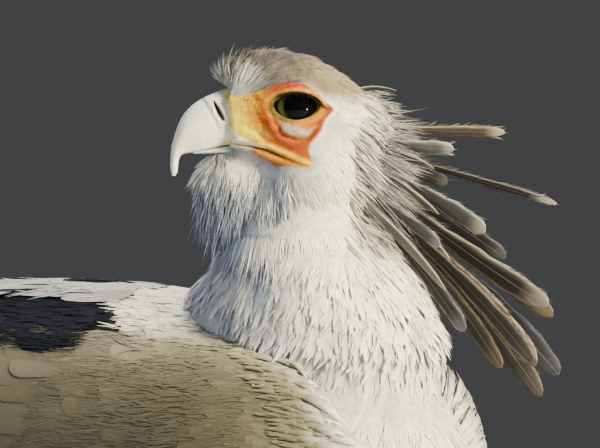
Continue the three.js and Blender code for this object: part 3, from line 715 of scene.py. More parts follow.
class Coat:
    """Gathers feathers into one mesh piece."""

    def __init__(self):
        self.parts, self.n = [], 0

    def add(self, tpl, co, root_uv, col, barb=None, rnd=None, normals=None, patch=0.003):
        N, V = co.shape[:2]
        base = self.n + np.arange(N)[:, None, None] * V
        q = (tpl.q[None] + base).reshape(-1, 4)
        t = (tpl.tr[None] + base).reshape(-1, 3)
        uv = root_uv[:, None] + np.stack([tpl.t * 0.5 + tpl.h * 0.12, tpl.s - 0.5], -1)[None] * patch
        if barb is None:
            barb = np.broadcast_to(np.stack([tpl.t, tpl.s], -1), (N, V, 2))
        col = np.broadcast_to(col if col.ndim == 3 else col[:, None], (N, V, 3))
        rnd = rng.random(N) if rnd is None else rnd
        self.parts.append((co.reshape(-1, 3), q, t, uv.reshape(-1, 2), np.reshape(barb, (-1, 2)), np.reshape(col, (-1, 3)),
                           np.repeat(rnd, V), None if normals is None else normals.reshape(-1, 3)))
        self.n += N * V

    def build(self, name, material, slot, replaces=()):
        p = list(zip(*self.parts))
        cat = np.concatenate
        uv = cat(p[3])
        soft = all(x is not None for x in p[7])
        ob = make(name, cat(p[0]), cat(p[1]), cat(p[2]), {"OFBake": np.clip(uv, 0.001, 0.999), "barb": cat(p[4])},
                  {"col": np.clip(cat(p[5]), 0, 1), "rnd": cat(p[6])}, cat(p[7]) if soft else None)
        return finish_piece(ob, material, replaces)


def feathers(tpl, root, nrm, lie, length, width, lift, bend, kind="body", thick=0.3, camber=0.0, sweep=0.0, roll=0.0, sink=0.0, soften=0.5):
    """Points (N, V, 3) and shading normals of feathers that start at root and lie along lie, lifted by lift and bent down by bend."""
    N = len(root)
    full = lambda x: np.broadcast_to(np.asarray(x, float), (N,))[:, None]
    length, width, lift, bend, thick, camber, sweep, roll, sink = map(full, (length, width, lift, bend, thick, camber, sweep, roll, sink))
    bend = np.where(np.abs(bend) < 1e-3, 1e-3, bend)
    s, t, h = tpl.s[None], tpl.t[None], tpl.h[None]
    x = (np.sin(lift) - np.sin(lift - bend * s)) / bend * length
    y = (np.cos(lift - bend * s) - np.cos(lift)) / bend * length
    a = lift - bend * s
    w = width / 2 * outline(kind, tpl.s)[None]
    side = np.cross(nrm, lie)
    cr, sr = np.cos(roll), np.sin(roll)
    across = w * t
    deep = thick * h * np.minimum(1, outline(kind, tpl.s)[None] * 1.6) - camber * width * (t * w / (width / 2)) ** 2
    across2, deep2 = across * cr - deep * sr, across * sr + deep * cr
    d, n = lie[:, None], nrm[:, None]
    ca, sa = np.cos(a)[..., None], np.sin(a)[..., None]
    co = (root[:, None] + d * x[..., None] + n * (y - sink)[..., None] + side[:, None] * (across2 + sweep * s * s)[..., None]
          + (n * ca - d * sa) * deep2[..., None])
    geo = unit((n * ca - d * sa) * (np.sign(h) * 0.75 + 0.25)[..., None] + side[:, None] * (t * 0.6)[..., None])
    soft = unit(geo * (1 - soften) + n * soften * np.where(h < -0.9, -1.0, 1.0)[..., None])
    return co, soft


def wave(p, size, seed, parts=5):
    """Smooth noise of about the given size, between -1 and 1."""
    r = np.random.default_rng(seed)
    v = 0
    for i in range(parts):
        k = unit(r.normal(size=3)) * (2 * math.pi / size) * r.uniform(0.6, 1.5)
        v = v + np.sin(p @ k + r.uniform(0, 6.28))
    return v / math.sqrt(parts) / 1.2


def scatter(pts, quads, density, most=10 ** 6, seed=1):
    """Random roots on a surface; density(points) is feathers per square millimetre."""
    r = np.random.default_rng(seed)
    tri = np.concatenate([quads[:, [0, 1, 2]], quads[:, [0, 2, 3]]])
    a, b, c = pts[tri[:, 0]], pts[tri[:, 1]], pts[tri[:, 2]]
    area = np.linalg.norm(np.cross(b - a, c - a), axis=1) / 2
    want = area * density((a + b + c) / 3)
    n = min(int(want.sum()), most)
    pick = r.choice(len(tri), n, p=want / want.sum())
    u, v = r.random(n), r.random(n)
    flip = u + v > 1
    u, v = np.where(flip, 1 - u, u), np.where(flip, 1 - v, v)
    return a[pick] + (b[pick] - a[pick]) * u[:, None] + (c[pick] - a[pick]) * v[:, None]


def unwrap(p):
    """The skin's own unwrap: round the body, and along it from tail to bill."""
    q = to_head(p)
    on_head = (p[:, 2] > 872) & ((q[:, 2] > -46) | (q[:, 0] > 8))
    on_neck = ~on_head & (p[:, 2] > 826)
    x, f, _, _ = neck_at(p[:, 2])
    u = np.arctan2(p[:, 0], p[:, 2] - 735) / (2 * math.pi)
    v = np.interp(-p[:, 1], [-270, 185], [0.01, 0.55])
    un = np.arctan2(p[:, 0] - x, -p[:, 1] - f) / (2 * math.pi)
    vn = np.interp(p[:, 2], [826, 905], [0.56, 0.7])
    uh = np.arctan2(q[:, 1], q[:, 2]) / (2 * math.pi)
    vh = np.interp(q[:, 0], [-40, 64], [0.71, 0.99])
    u = np.where(on_head, uh, np.where(on_neck, un, u))
    v = np.where(on_head, vh, np.where(on_neck, vn, v))
    return np.stack([np.clip(u + 0.5, 0.004, 0.996), v], 1)


WHITE, CREAM = srgb(244, 239, 219), srgb(232, 222, 205)
CROWN, SLATE, BLUE_GREY_AND_SHADE = srgb(122, 106, 80), srgb(66, 68, 78), srgb(114, 125, 152)
MIST, BACK, BLACK = srgb(216, 214, 210), srgb(176, 173, 166), srgb(26, 25, 29)


def markings(p):
    """The plumage's ground colour at points on the bird, with painted bluish shade on the throat's side of the neck and
    on the beard, and painted light on the throat.
    """
    q = to_head(p)
    x, y, z = q[:, 0], np.abs(q[:, 1]), q[:, 2]
    col = np.broadcast_to(WHITE, p.shape).copy()
    def lay(c, w):
        nonlocal col
        col = mix(col, c, np.clip(w, 0, 1)[:, None])
    on_head = step(868, 884, p[:, 2])
    # neck and breast: bluish on the throat's side, partly their own grey and partly painted shade, warm on the nape's
    # side, greyer lower down
    ax, af, _, _ = neck_at(p[:, 2])
    rel = np.stack([p[:, 0] - ax, p[:, 1] + af], 1)
    ahead = rel @ FLAT[:2] / np.maximum(np.linalg.norm(rel, axis=1), 1)
    lay(MIST, step(870, 800, p[:, 2]) * 0.75)
    patchy = 0.75 + 0.35 * wave(p, 26, 71)
    # bluish grey on the throat's side: partly the neck's own grey, partly painted shade
    lay(BLUE_GREY_AND_SHADE, step(-0.25, 0.75, ahead) * step(770, 850, p[:, 2]) * patchy * 0.85)
    lay(srgb(196, 196, 202), step(0.55, 0.0, ahead) * step(858, 835, p[:, 2]) * step(0.1, 0.9, wave(p, 22, 72)) * 0.6)
    lay(BACK, step(40, -10, -p[:, 1]) * (1 - on_head))
    # head
    crown = step(7, 21, z + 0.20 * (x + 8)) * step(-40, -24, x) * on_head
    crown = crown * step(30, 20, y + np.maximum(0, -z + 12))
    lay(CROWN, crown * 0.95)
    lay(srgb(70, 68, 68), step(6, 24, x) * step(9, 17, z) * on_head * (0.75 + 0.35 * wave(p, 12, 73)))
    lay(srgb(178, 176, 170), step(33, 43, x) * step(4, 10, z) * step(22, 15, z) * on_head * 0.9)
    lay(srgb(150, 146, 134), step(14, -2, z) * step(16, 6, z - 0.3 * x) * step(4, -10, x) * step(-8, 4, z) * on_head * 0.5)
    # whiter throat: partly its own white, partly painted light where the cheek shades it
    lay(srgb(222, 220, 212), step(14, 26, x) * step(-24, -31, z) * on_head * 0.75)
    # blue-grey on the forward part of the beard: painted shade over its own pale grey
    lay(srgb(138, 145, 160), step(20, 38, x) * step(-26, -42, z) * on_head * 0.95)
    lay(srgb(196, 186, 166), step(-25, -32, x) * step(14, 2, z) * on_head * 0.6)
    # underside and hind end
    f = -p[:, 1]
    lay(BLACK, step(668, 640, p[:, 2]) * step(70, 20, f))
    lay(BLACK, step(-60, -110, f) * step(800, 780, p[:, 2]) * step(700, 720, p[:, 2]) * 0.9)
    lay(WHITE, step(-215, -240, f))
    return col * (1 + 0.05 * wave(p, 9, 5)[:, None])


def lie_of(p, n):
    """The way the feathers lie at points on the bird, along the surface."""
    q = to_head(p)
    x, y, z = q[:, 0], q[:, 1], q[:, 2]
    one = np.ones(len(p))
    def v(a, b, c):
        return np.stack([a * one, b * one, c * one], 1)
    back = v(-1, 0, -0.18)
    tuft = np.stack([np.interp(x, [28, 38, 50], [-1.0, -0.5, 0.12]), 0.12 * y / 8, one], 1)
    d = mix(back, v(-0.75, 0, 0.65), (step(14, 30, x) * step(8, 20, z))[:, None])
    d = mix(d, tuft, (step(30, 44, x) * step(2, 10, z))[:, None])
    cheek = step(14, -8, z)[:, None]
    d = mix(d, v(-0.72, 0, -0.7), cheek)
    d = d @ HEAD_AXES
    hang = v(0, 0, -1.0) + FLAT * 0.04
    low = (step(4, 22, x) * step(-20, -30, z))[:, None]
    d = mix(d, hang, low)
    down = v(0, 0, -1.0)
    d = mix(d, down + FLAT * 0.12 * step(0, 30, x)[:, None], step(906, 884, p[:, 2])[:, None] * (1 - low * 0.6))
    f = -p[:, 1]
    b = step(175, 30, f) * step(842, 815, p[:, 2])
    trunk = np.stack([0 * one, 0.25 + 1.0 * b, -(1.0 - 0.85 * b)], 1)
    d = mix(d, trunk, step(850, 812, p[:, 2])[:, None])
    d = d + 0.16 * np.stack([wave(p, 14, 11), wave(p, 14, 12), wave(p, 14, 13)], 1)
    d = d - n * (d * n).sum(1, keepdims=True)
    return unit(d)


# ------------------------------------------------------------------ skin
head_lo, head_hi = np.array([-58, -150, 846]), np.array([62, -18, 980])


def f_head_part(p):
    """The head and upper neck's flesh, ended low in the neck."""
    return smax(f_flesh(p), 852 - p[:, 2], 3)


def f_body_part(p):
    return smax(f_flesh(p, False) + 0.8, p[:, 2] - 866, 3)


head_pts, head_quads = surface(f_head_part, head_lo, head_hi, 0.85)
body_pts, body_quads = surface(f_body_part, [-100, -190, 350], [100, 276, 874], 3.6)
skin_parts = [(head_pts, head_quads), (body_pts, body_quads)]
for s in (1, -1):
    c = np.array([s * FOOT_X, -FEET[s], 0])
    skin_parts.append(surface(lambda p, s=s: f_leg(p, s), [c[0] - 46, c[1] - 82, -3], [c[0] + 46, c[1] + 84, 420], 1.5))


def deepen(col, k):
    """Colour pushed away from grey by k."""
    grey = (col @ np.array([0.21, 0.72, 0.07]))[..., None]
    return np.clip(grey + (col - grey) * k, 0.002, 0.95)


def face_colours(p):
    """Bare face: yellow by the bill through orange to red over and behind the eye, white horn along the bill's base."""
    q = to_head(p)
    x, y, z = q[:, 0], np.abs(q[:, 1]), q[:, 2]
    yellow, orange, red = srgb(252, 214, 22), srgb(168, 82, 12), srgb(134, 28, 20)
    mottle = wave(p, 5.5, 61) * 0.6 + wave(p, 2.6, 62) * 0.5
    fleck = wave(p, 1.7, 63) * 0.6 + wave(p * [1, 1, 0.4], 1.2, 64) * 0.5
    def lay(c, w):
        nonlocal col
        col = mix(col, c, np.clip(w, 0, 1)[:, None])
    col = mix(yellow, orange, step(44, 25, x + 4.5 * mottle + 0.5 * (z + 2))[:, None])
    lay(srgb(174, 86, 14), step(-7, 4, z) * step(50, 38, x) * (0.6 + 0.4 * mottle + 0.3 * fleck))
    lay(srgb(138, 58, 14), np.exp(-((x - 29.0) / 5.2) ** 2 - ((z - 3) / 9.5) ** 2) * (0.78 + 0.4 * mottle + 0.25 * fleck))
    lay(srgb(142, 78, 24), np.exp(-((x - 25.2) / 1.6) ** 2 - ((z + 5.5) / 5) ** 2) * (0.4 + 0.3 * mottle))
    lay(srgb(252, 226, 40), np.exp(-((x - 36 - 0.5 * (z + 9)) / 7) ** 2 - ((z + 9.5) / 3.8) ** 2) * 0.85)
    lay(srgb(252, 238, 96), np.exp(-((x - 44) / 2.4) ** 2 - ((z + 5) / 6) ** 2) * 0.6)
    d, t = to_line(x, z, [(36, 11.6), (30, 14.8), (23, 18.5), (15.5, 20.5), (8, 19), (0, 14.5), (-6, 9.5), (-2, 3), (0, -4), (4, -11)])
    lay(red, step(mix(6.4, 3.4, step(0.5, 0.75, t)), mix(2.4, 0.8, step(0.5, 0.75, t)), d + 1.3 * mottle + 0.7 * fleck) * step(0, 0.18, t) * mix(0.92, 0.6, step(0.62, 0.8, t)))
    lay(srgb(138, 20, 18), step(5.0, 1.0, np.hypot(x + 4.0, z - 8.0) + 0.6 * mottle) * 0.85)
    # painted highlight: a pinkish line along the upper lid over the eye
    lay(srgb(226, 146, 112), np.exp(-(to_line(x, z, [(22.5, 17.6), (17, 19.6), (9, 18.4), (3, 15.4)])[0] / 0.7) ** 2) * 0.3 * (0.6 + 0.6 * fleck))
    lay(srgb(214, 128, 30), np.exp(-(to_line(x, z, [(22, 13.6), (15, 17.2), (8, 16.4), (2, 13.4)])[0] / 0.9) ** 2) * 0.5)
    d2, _ = to_line(x, z, [(27.0, 0), (24, -5.5), (17.5, -10.2), (11, -11.8), (5, -12.2), (3, -9)])
    lay(srgb(160, 66, 28), step(2.6, 0.4, d2 + 0.9 * mottle + 0.4 * fleck) * 0.8)
    d3, _ = to_line(x, z, [(30, -15.0), (24, -15.6), (17, -17.8), (7, -20), (2, -21)])
    lay(srgb(240, 200, 44), step(2.6, 0.5, d3 + 0.3 * fleck) * 0.9)
    d4, _ = to_line(x, z, [(47, -17.0), (36, -16.6), (26, -17.5), (16, -20), (7, -21.8), (2.4, -22.4)])
    lay(mix(srgb(206, 160, 40), srgb(108, 58, 18), step(40, 31, x)[:, None]), step(1.2, 0.25, d4) * 0.85)
    d5, _ = to_line(x, z, [(30, -19.6), (25, -20.8), (15, -23), (5, -23.6)])
    lay(srgb(222, 152, 24), step(2.0, 0.4, d5) * 0.85)
    # white horn of the bill's base and cutting edge
    edge_x = np.interp(z, [-16.6, -15.6, -14.6, -13.0, -11.2, -8.1, -0.5, 6.5, 10], [24, 28, 33, 39, 43.2, 46.6, 47.4, 50.6, 53])
    horn = step(-1.4, 0.9, x - edge_x + 0.7 * mottle) * step(-17.2, -16.4, z - 0.02 * (50 - x))
    lay(srgb(240, 236, 214), horn)
    lay(srgb(208, 212, 204), step(31, 37, x) * step(-17.2, -18.2, z))
    edge = lid_opening(x, z)
    lay(srgb(206, 142, 34), step(4.0, 1.6, edge) * 0.7)
    deep = patch_depth(x, z, POUCH)
    pouch = step(-1.2, 1.6, deep + 0.6 * mottle + 0.3 * fleck) * step(10, 16, y)
    lay(mix(srgb(172, 158, 122), srgb(154, 132, 92), step(0.0, 0.9, fleck)[:, None]), pouch * 0.93)
    # painted shadow: blue-grey on the upper front of the pale pouch
    lay(srgb(150, 152, 164), np.exp(-((x - 15.5 + 0.6 * (z + 4)) / 3.4) ** 2 - ((z + 4.0) / 2.0) ** 2) * pouch * 0.75)
    lay(srgb(190, 150, 110), np.exp(-(to_line(x, z, [(19, -3.6), (13, -6.0), (7, -6.2)])[0] / 0.35) ** 2) * pouch * 0.4)
    rim = step(2.3, 0.8, edge)
    lay(mix(srgb(164, 124, 30), srgb(96, 92, 44), step(8, 20, x)[:, None]), rim * 0.9)
    lay(srgb(24, 19, 17), step(1.7, 0.6, edge) * step(8.0, 12.5, z + 0.10 * (13 - x)) * 0.95)
    lay(srgb(24, 19, 17), step(1.3, 0.4, to_line(x, z, [(7, 14.2), (1.5, 11.6), (-2.6, 9.4)])[0]) * 0.85)
    # fine creases that run down and forward before the eye, darkened as painted shade in them
    lines = np.sin((x * 0.9 + z * 0.55) * 4.2 + 3 * mottle) * 0.5 + np.sin((x * 1.1 + z * 0.4) * 7.3 + 2 * fleck) * 0.5
    col = col * (1 - 0.16 * step(0.1, 0.9, lines) * step(24, 29, x) * step(47, 41, x) * step(-13, -8, z))[:, None]
    return deepen(col, 1.0)


def skin_colours(p, leg=False):
    if leg:
        col = mix(srgb(222, 184, 168), srgb(232, 206, 192), step(60, 260, p[:, 2])[:, None])
        return mix(col, srgb(204, 160, 142), step(30, 8, p[:, 2])[:, None])
    q = to_head(p)
    x, y, z = q[:, 0], np.abs(q[:, 1]), q[:, 2]
    bare = step(-1.0, 0.8, face_depth(x, z)) * step(3, 7, y) * (x > -12) * (p[:, 2] > 880)
    # under the feathers the skin takes the plumage's markings, darkened by 0.8 as painted shade between the feathers
    under = markings(p) * 0.8
    return mix(under, face_colours(p), bare[:, None])


def skin_look():
    L = Look("skin", 0.5, Subsurface_Weight=0.12, Subsurface_Scale=0.0015)
    L.b.inputs["Specular IOR Level"].default_value = 0.35
    L.b.inputs["Subsurface Radius"].default_value = (1.0, 0.35, 0.15)
    tex = L.n("TexCoord")
    bare = L.attr("bare")
    grain = L.n("TexNoise", Scale=900.0, Detail=3.0, Roughness=0.65)
    L.to(tex, grain, 3)
    blot = L.n("TexNoise", Scale=260.0, Detail=4.0, Roughness=0.6)
    L.to(tex, blot, 3)
    pebble = L.n("TexVoronoi", Scale=1150.0, feature="SMOOTH_F1")
    L.to(tex, pebble, 3)
    scute = L.n("TexVoronoi", Scale=330.0, feature="DISTANCE_TO_EDGE")
    L.to(tex, scute, 3)
    shade = L.ramp([(0.3, 0.72), (0.55, 1.05), (0.75, 1.18)], blot)
    col = L.blend("MULTIPLY", 1.0, L.attr("col"), shade)
    spots = L.ramp([(0.0, 0.72), (0.5, 1.04)], pebble)
    col2 = L.blend("MULTIPLY", 1.0, col, spots, a_out=2)
    lines = L.ramp([(0.0, 0.55), (0.09, 1.0)], scute)
    leg = L.attr("leg")
    col3 = L.blend("MULTIPLY", leg, col2, lines, fac_out=2, a_out=2)
    L.colour(col3, 2)
    b1 = L.bump(pebble, 0.5, 0.0003)
    b2 = L.bump(blot, 0.45, 0.0006, normal=b1)
    gate = L.blend("MULTIPLY", leg, (1.0, 1.0, 1.0), lines, fac_out=2)
    b3 = L.bump(gate, 0.6, 0.0004, out=2, normal=b2)
    L.normal(b3)
    return L.m


def join_parts(parts):
    n, P, Q = 0, [], []
    for p, q in parts:
        P.append(p)
        Q.append(q + n)
        n += len(p)
    return np.concatenate(P), np.concatenate(Q)


skin_p, skin_q = join_parts(skin_parts)
legs = np.concatenate([np.zeros(len(head_pts) + len(body_pts)), np.ones(len(skin_p) - len(head_pts) - len(body_pts))])
skin_col = np.where(legs[:, None] > 0, skin_colours(skin_p, True), skin_colours(skin_p))
skin = make("skin", skin_p, skin_q, None, {"OFBake": np.where(legs[:, None] > 0, np.stack([np.clip(0.25 + skin_p[:, 0] / 300, 0, 1), skin_p[:, 2] / 500 * 0.02], 1), unwrap(skin_p))},
            {"col": skin_col, "leg": legs, "bare": np.zeros(len(skin_p))})
finish_piece(skin, skin_look(), ("trunk", "neck", "head", "thigh_L", "thigh_R", "shank_L", "shank_R", "foot_L", "foot_R"))


# ------------------------------------------------------------------ bill
def bill_rings(rows, n, steps, kind):
    line = Curve([(i, *r) for i, r in enumerate(rows)])
    u = np.linspace(0, 1, steps) ** 0.92 * (len(rows) - 1)
    tx, tz, bx, bz, w = [a[:, None] for a in line(u)]
    t = np.linspace(0, 2 * math.pi, n, endpoint=False)[None]
    s, c = np.sin(t), np.cos(t)
    if kind == "upper":
        pinch = np.where(s > 0, 1 - 0.30 * s * s - 0.10 * s ** 6, 1.0)
        across = w * np.sign(c) * np.abs(c) ** np.where(s > 0, 0.86, 0.5) * pinch
        height = np.where(s > 0, s, np.sign(s) * np.abs(s) ** 1.0)
    else:
        across = w * np.sign(c) * np.abs(c) ** np.where(s < 0, 0.8, 0.4)
        height = s
    q = np.stack([(tx + bx) / 2 + (tx - bx) / 2 * height, across + 0 * tx, (tz + bz) / 2 + (tz - bz) / 2 * height], -1)
    return q


upper = bill_rings(BILL_UPPER, 144, 130, "upper")
NOSTRIL = [(56.2, 3.4), (54.6, 1.0), (52.6, -2.0), (50.4, -4.8)]


def nostril(x, z):
    """Distance from the nostril's middle line as a share of its half width there."""
    d, t = to_line(x, z, NOSTRIL)
    return d / mix(0.45, 1.3, np.sin(t * 2.4)), t


x, y, z = upper[..., 0], np.abs(upper[..., 1]), upper[..., 2]
slit, along = nostril(x, z)
lean = np.sign(upper[..., 1]) * (y > 2.5)
upper[..., 1] -= lean * 3.0 * np.exp(-(slit / 0.95) ** 4)
upper[..., 1] += lean * 0.4 * np.exp(-((slit - 2.0) / 0.7) ** 2)
groove, _ = to_line(x, z, [(64.5, 9), (62.6, 5.1), (57.6, -1.5), (53.2, -8.2), (51.4, -11.5)])
upper[..., 1] -= lean * 0.42 * np.exp(-(groove / 0.7) ** 2)
tomium, _ = to_line(x, z, [(44, -15.2), (50, -16.6), (58, -20.2), (64, -23.0), (67.5, -24.2)])
upper[..., 1] -= lean * 0.3 * np.exp(-((tomium - 0.4) / 0.8) ** 2)
bp, bq, bt = lofted(upper)
bx_, by_, bz_ = bp[:, 0], np.abs(bp[:, 1]), bp[:, 2]
horn = mix(srgb(222, 224, 222), srgb(246, 243, 228), step(6, -12, bz_)[:, None])
horn = mix(horn, srgb(250, 246, 230), (step(60, 70, bx_) * step(-4, -20, bz_))[:, None])
g, _ = to_line(bx_, bz_, [(64.5, 9), (62.6, 5.1), (57.6, -1.5), (53.2, -8.2), (51.4, -11.5)])
horn = mix(horn, srgb(122, 128, 128), (step(1.5, 0.2, g) * mix(0.35, 0.95, step(-8, 6, bz_)))[:, None])
cere = step(0.5, -3.5, bx_ - (58 + (bz_ - 0) * 0.75))
horn = mix(horn, srgb(244, 238, 206), cere[:, None] * 0.7)
back = np.interp(bz_, [-16.6, -15.6, -14.6, -13.0, -11.2, -8.1, -0.5, 6.5, 10], [24, 28, 33, 39, 43.2, 46.6, 47.4, 50.6, 53])
horn = mix(horn, srgb(236, 200, 82), (step(0.9, -1.0, bx_ - back))[:, None] * 0.9)
horn = mix(horn, srgb(238, 214, 120), (step(56, 47, bx_) * step(2.0, 0.5, np.abs(bz_ + 17.4 + (bx_ - 47) * 0.28)))[:, None] * 0.7)
sl, al = nostril(bx_, bz_)
horn = mix(horn, srgb(246, 244, 236), np.exp(-((sl - 1.9) / 0.7) ** 2)[:, None] * 0.7)
# the nostril's slit painted dark as the shade inside it
horn = mix(horn, mix(srgb(40, 42, 48), srgb(96, 100, 112), step(0.4, 1.0, al)[:, None]), step(1.2, 0.8, sl)[:, None])
# painted shade: bluish along the ridge of the upper bill
horn = mix(horn, srgb(150, 158, 176), (step(3.4, 0.4, np.abs(by_)) * step(-14, 4, bz_))[:, None] * 0.55)
horn = mix(horn, srgb(250, 250, 246), step(-30, -38, bz_)[:, None] * 0.8)


def horn_look(name, rough=0.32):
    L = Look(name, rough, Coat_Weight=0.15, Coat_Roughness=0.25, Subsurface_Weight=0.08, Subsurface_Scale=0.001)
    tex = L.n("TexCoord")
    fine = L.n("TexNoise", Scale=420.0, Detail=5.0, Roughness=0.6)
    L.to(tex, fine, 3)
    streak = L.n("Mapping")
    streak.inputs["Scale"].default_value = (900, 900, 160)
    L.to(tex, streak, 3)
    lines = L.n("TexNoise", Scale=1.0, Detail=3.0)
    L.to(streak, lines)
    col = L.blend("MULTIPLY", 1.0, L.attr("col"), L.ramp([(0.3, 0.82), (0.6, 1.03)], fine))
    col = L.blend("MULTIPLY", 0.6, col, L.ramp([(0.35, 0.86), (0.6, 1.04)], lines), a_out=2)
    L.colour(col, 2)
    L.normal(L.bump(fine, 0.2, 0.0002, normal=L.bump(lines, 0.15, 0.0002)))
    return L.m


horn_mat = horn_look("bill_horn")
bill = make("bill_top", from_head(bp), bq, bt, {"OFBake": np.stack([np.clip(bx_ / 80, 0.02, 0.98) * 0.5 + (bp[:, 1] > 0) * 0.48, np.clip((bz_ + 42) / 60, 0.02, 0.98)], 1)}, {"col": horn})
finish_piece(bill, horn_mat, ("bill_upper",))
lower = bill_rings(BILL_LOWER, 40, 50, "lower")
lp, lq, lt = lofted(lower)
jaw = mix(srgb(230, 176, 44), srgb(206, 212, 196), step(30, 44, lp[:, 0])[:, None])
jaw = mix(jaw, srgb(96, 84, 60), step(-0.3, 1.0, lp[:, 2] + 17.4 + (lp[:, 0] - 40) * 0.2)[:, None] * 0.6)
finish_piece(make("bill_bottom", from_head(lp), lq, lt, {"OFBake": np.stack([np.clip(lp[:, 0] / 80, 0.02, 0.98), np.clip((lp[:, 1] + 16) / 32, 0.02, 0.98)], 1)}, {"col": jaw}),
             horn_mat, ("bill_lower",))


# ------------------------------------------------------------------ eyes
def eye(side):
    turn, rise = rad(-5), rad(2)
    axis = np.array([math.sin(turn), side * math.cos(turn) * math.cos(rise), math.sin(rise)])
    axis = axis / np.linalg.norm(axis)
    u = unit(np.cross(axis, [0, 0, 1]))
    v = np.cross(u, axis)
    a = np.concatenate([np.linspace(0.02, 0.9, 44), np.linspace(0.94, math.pi - 0.02, 30)])[:, None, None]
    t = np.linspace(0, 2 * math.pi, 64, endpoint=False)[None, :, None]
    r = EYE_R + 0.55 * np.clip(1 - (a / 0.62) ** 2, 0, 1) ** 1.5
    ring = EYE_AT * [1, side, 1] + axis * np.cos(a) * r + (u * np.cos(t) + v * np.sin(t)) * np.sin(a) * r
    p, q, tr = lofted(ring)
    ang = np.concatenate([np.repeat(a[:, 0, 0], 64), [0, math.pi]])
    turnabout = np.concatenate([np.tile(t[0, :, 0], len(a)), [0, 0]])
    wob = 0.02 * np.sin(turnabout * 23) + 0.015 * np.sin(turnabout * 41 + 1)
    col = mix(srgb(7, 6, 8), srgb(44, 34, 22), step(0.70, 0.76, ang)[:, None])
    col = mix(col, srgb(112, 108, 62), step(0.76, 0.90, ang + wob)[:, None])
    col = mix(col, srgb(34, 30, 22), step(1.04, 1.14, ang)[:, None])
    L = Look("eye_gloss_" + ("L" if side > 0 else "R"), 0.06, Coat_Weight=0.06, Coat_Roughness=0.02)
    L.b.inputs["Specular IOR Level"].default_value = 0.06
    tex = L.n("TexCoord")
    f = L.n("TexNoise", Scale=2400.0, Detail=4.0)
    L.to(tex, f, 3)
    L.colour(L.blend("MULTIPLY", 1.0, L.attr("col"), L.ramp([(0.3, 0.6), (0.7, 1.3)], f)), 2)
    ob = make("eyeball_" + ("L" if side > 0 else "R"), from_head(p), q, tr, {"OFBake": np.stack([0.5 + 0.45 * np.sin(ang / 2) * np.cos(turnabout), 0.5 + 0.45 * np.sin(ang / 2) * np.sin(turnabout)], 1)}, {"col": col})
    return finish_piece(ob, L.m, ("eye_L" if side > 0 else "eye_R",))


eye(1)
eye(-1)


# ------------------------------------------------------------------ small feathers of head, neck, breast, back and thighs
def bare_depth(p):
    q = to_head(p)
    side = (np.abs(q[:, 1]) > 4.5) & (q[:, 0] > -12) & (p[:, 2] > 880)
    return np.where(side, face_depth(q[:, 0], q[:, 2]), -20)


def locks(roots, each, seed):
    """Gathers neighbouring roots into locks: each root's lock middle and lock number."""
    r = np.random.default_rng(seed)
    pick = r.choice(len(roots), max(1, len(roots) // each), replace=False)
    tree = KDTree(len(pick))
    for i, j in enumerate(pick):
        tree.insert(roots[j], i)
    tree.balance()
    near = np.array([tree.find(p)[1] for p in roots])
    return roots[pick][near], near, len(pick)


def outward(p):
    """Level directions away from the middle of the head and throat."""
    q = to_head(p)
    v = FLAT[None] * (q[:, 0] - 17)[:, None] + E2[None] * (q[:, 1] * 1.3)[:, None]
    return unit(v + 1e-6)


def strands(coat, tpl, roots, field, seed, length, width, lift, bend, gather=0.6, each=8, tint=0.1, stray=0.1, colours=markings, lie=lie_of, thick=0.22, soften=0.72, deep=0.72, free=None):
    r = np.random.default_rng(seed)
    n = gradient(field, roots, 1.2)
    middle, lock, count = locks(roots, each, seed + 1)
    pull = middle - roots
    if free is None:
        d = lie(roots, n) + pull * (gather / length)[:, None] + r.normal(0, stray, roots.shape)
        d = unit(d - n * (d * n).sum(1, keepdims=True))
    else:
        # free strands fall straight down, clear of the skin, and face away from the throat's middle
        hang = np.array([0, 0, -1.0]) + outward(roots) * 0.22 - FLAT * 0.06
        d = mix(lie(roots, n), hang, free[:, None]) + pull * (gather / length)[:, None] + r.normal(0, stray, roots.shape)
        out = (d * n).sum(1, keepdims=True)
        d = unit(d - n * np.where(out < 0, out, out * (1 - free[:, None])))
        n = mix(n, outward(roots), 0.75 * free[:, None])
        n = unit(n - d * (d * n).sum(1, keepdims=True))
    a = lift + (r.normal(0, 0.10, count)[lock] + r.normal(0, 0.06, len(roots))) * np.minimum(1, lift * 3)
    length = length * np.exp(r.normal(0, 0.10, count)[lock] + r.normal(0, 0.12, len(roots)))
    co, nn = feathers(tpl, roots, n, d, length, width * np.exp(r.normal(0, 0.18, len(roots))), a, bend, "hair", thick=thick, roll=r.normal(0, 0.35, len(roots)), sink=0.5, soften=soften)
    shade = 1 + tint * (r.normal(0, 0.8, count)[lock] + r.normal(0, 0.6, len(roots)))
    col = colours(roots) * shade[:, None]
    # each strand darker at its root: painted shade where the strands overlap
    col = col[:, None] * mix(deep, 1.06, np.clip(tpl.s * 1.3, 0, 1))[None, :, None]
    coat.add(tpl, co, unwrap(roots), col, normals=nn, rnd=r.random(len(roots)))


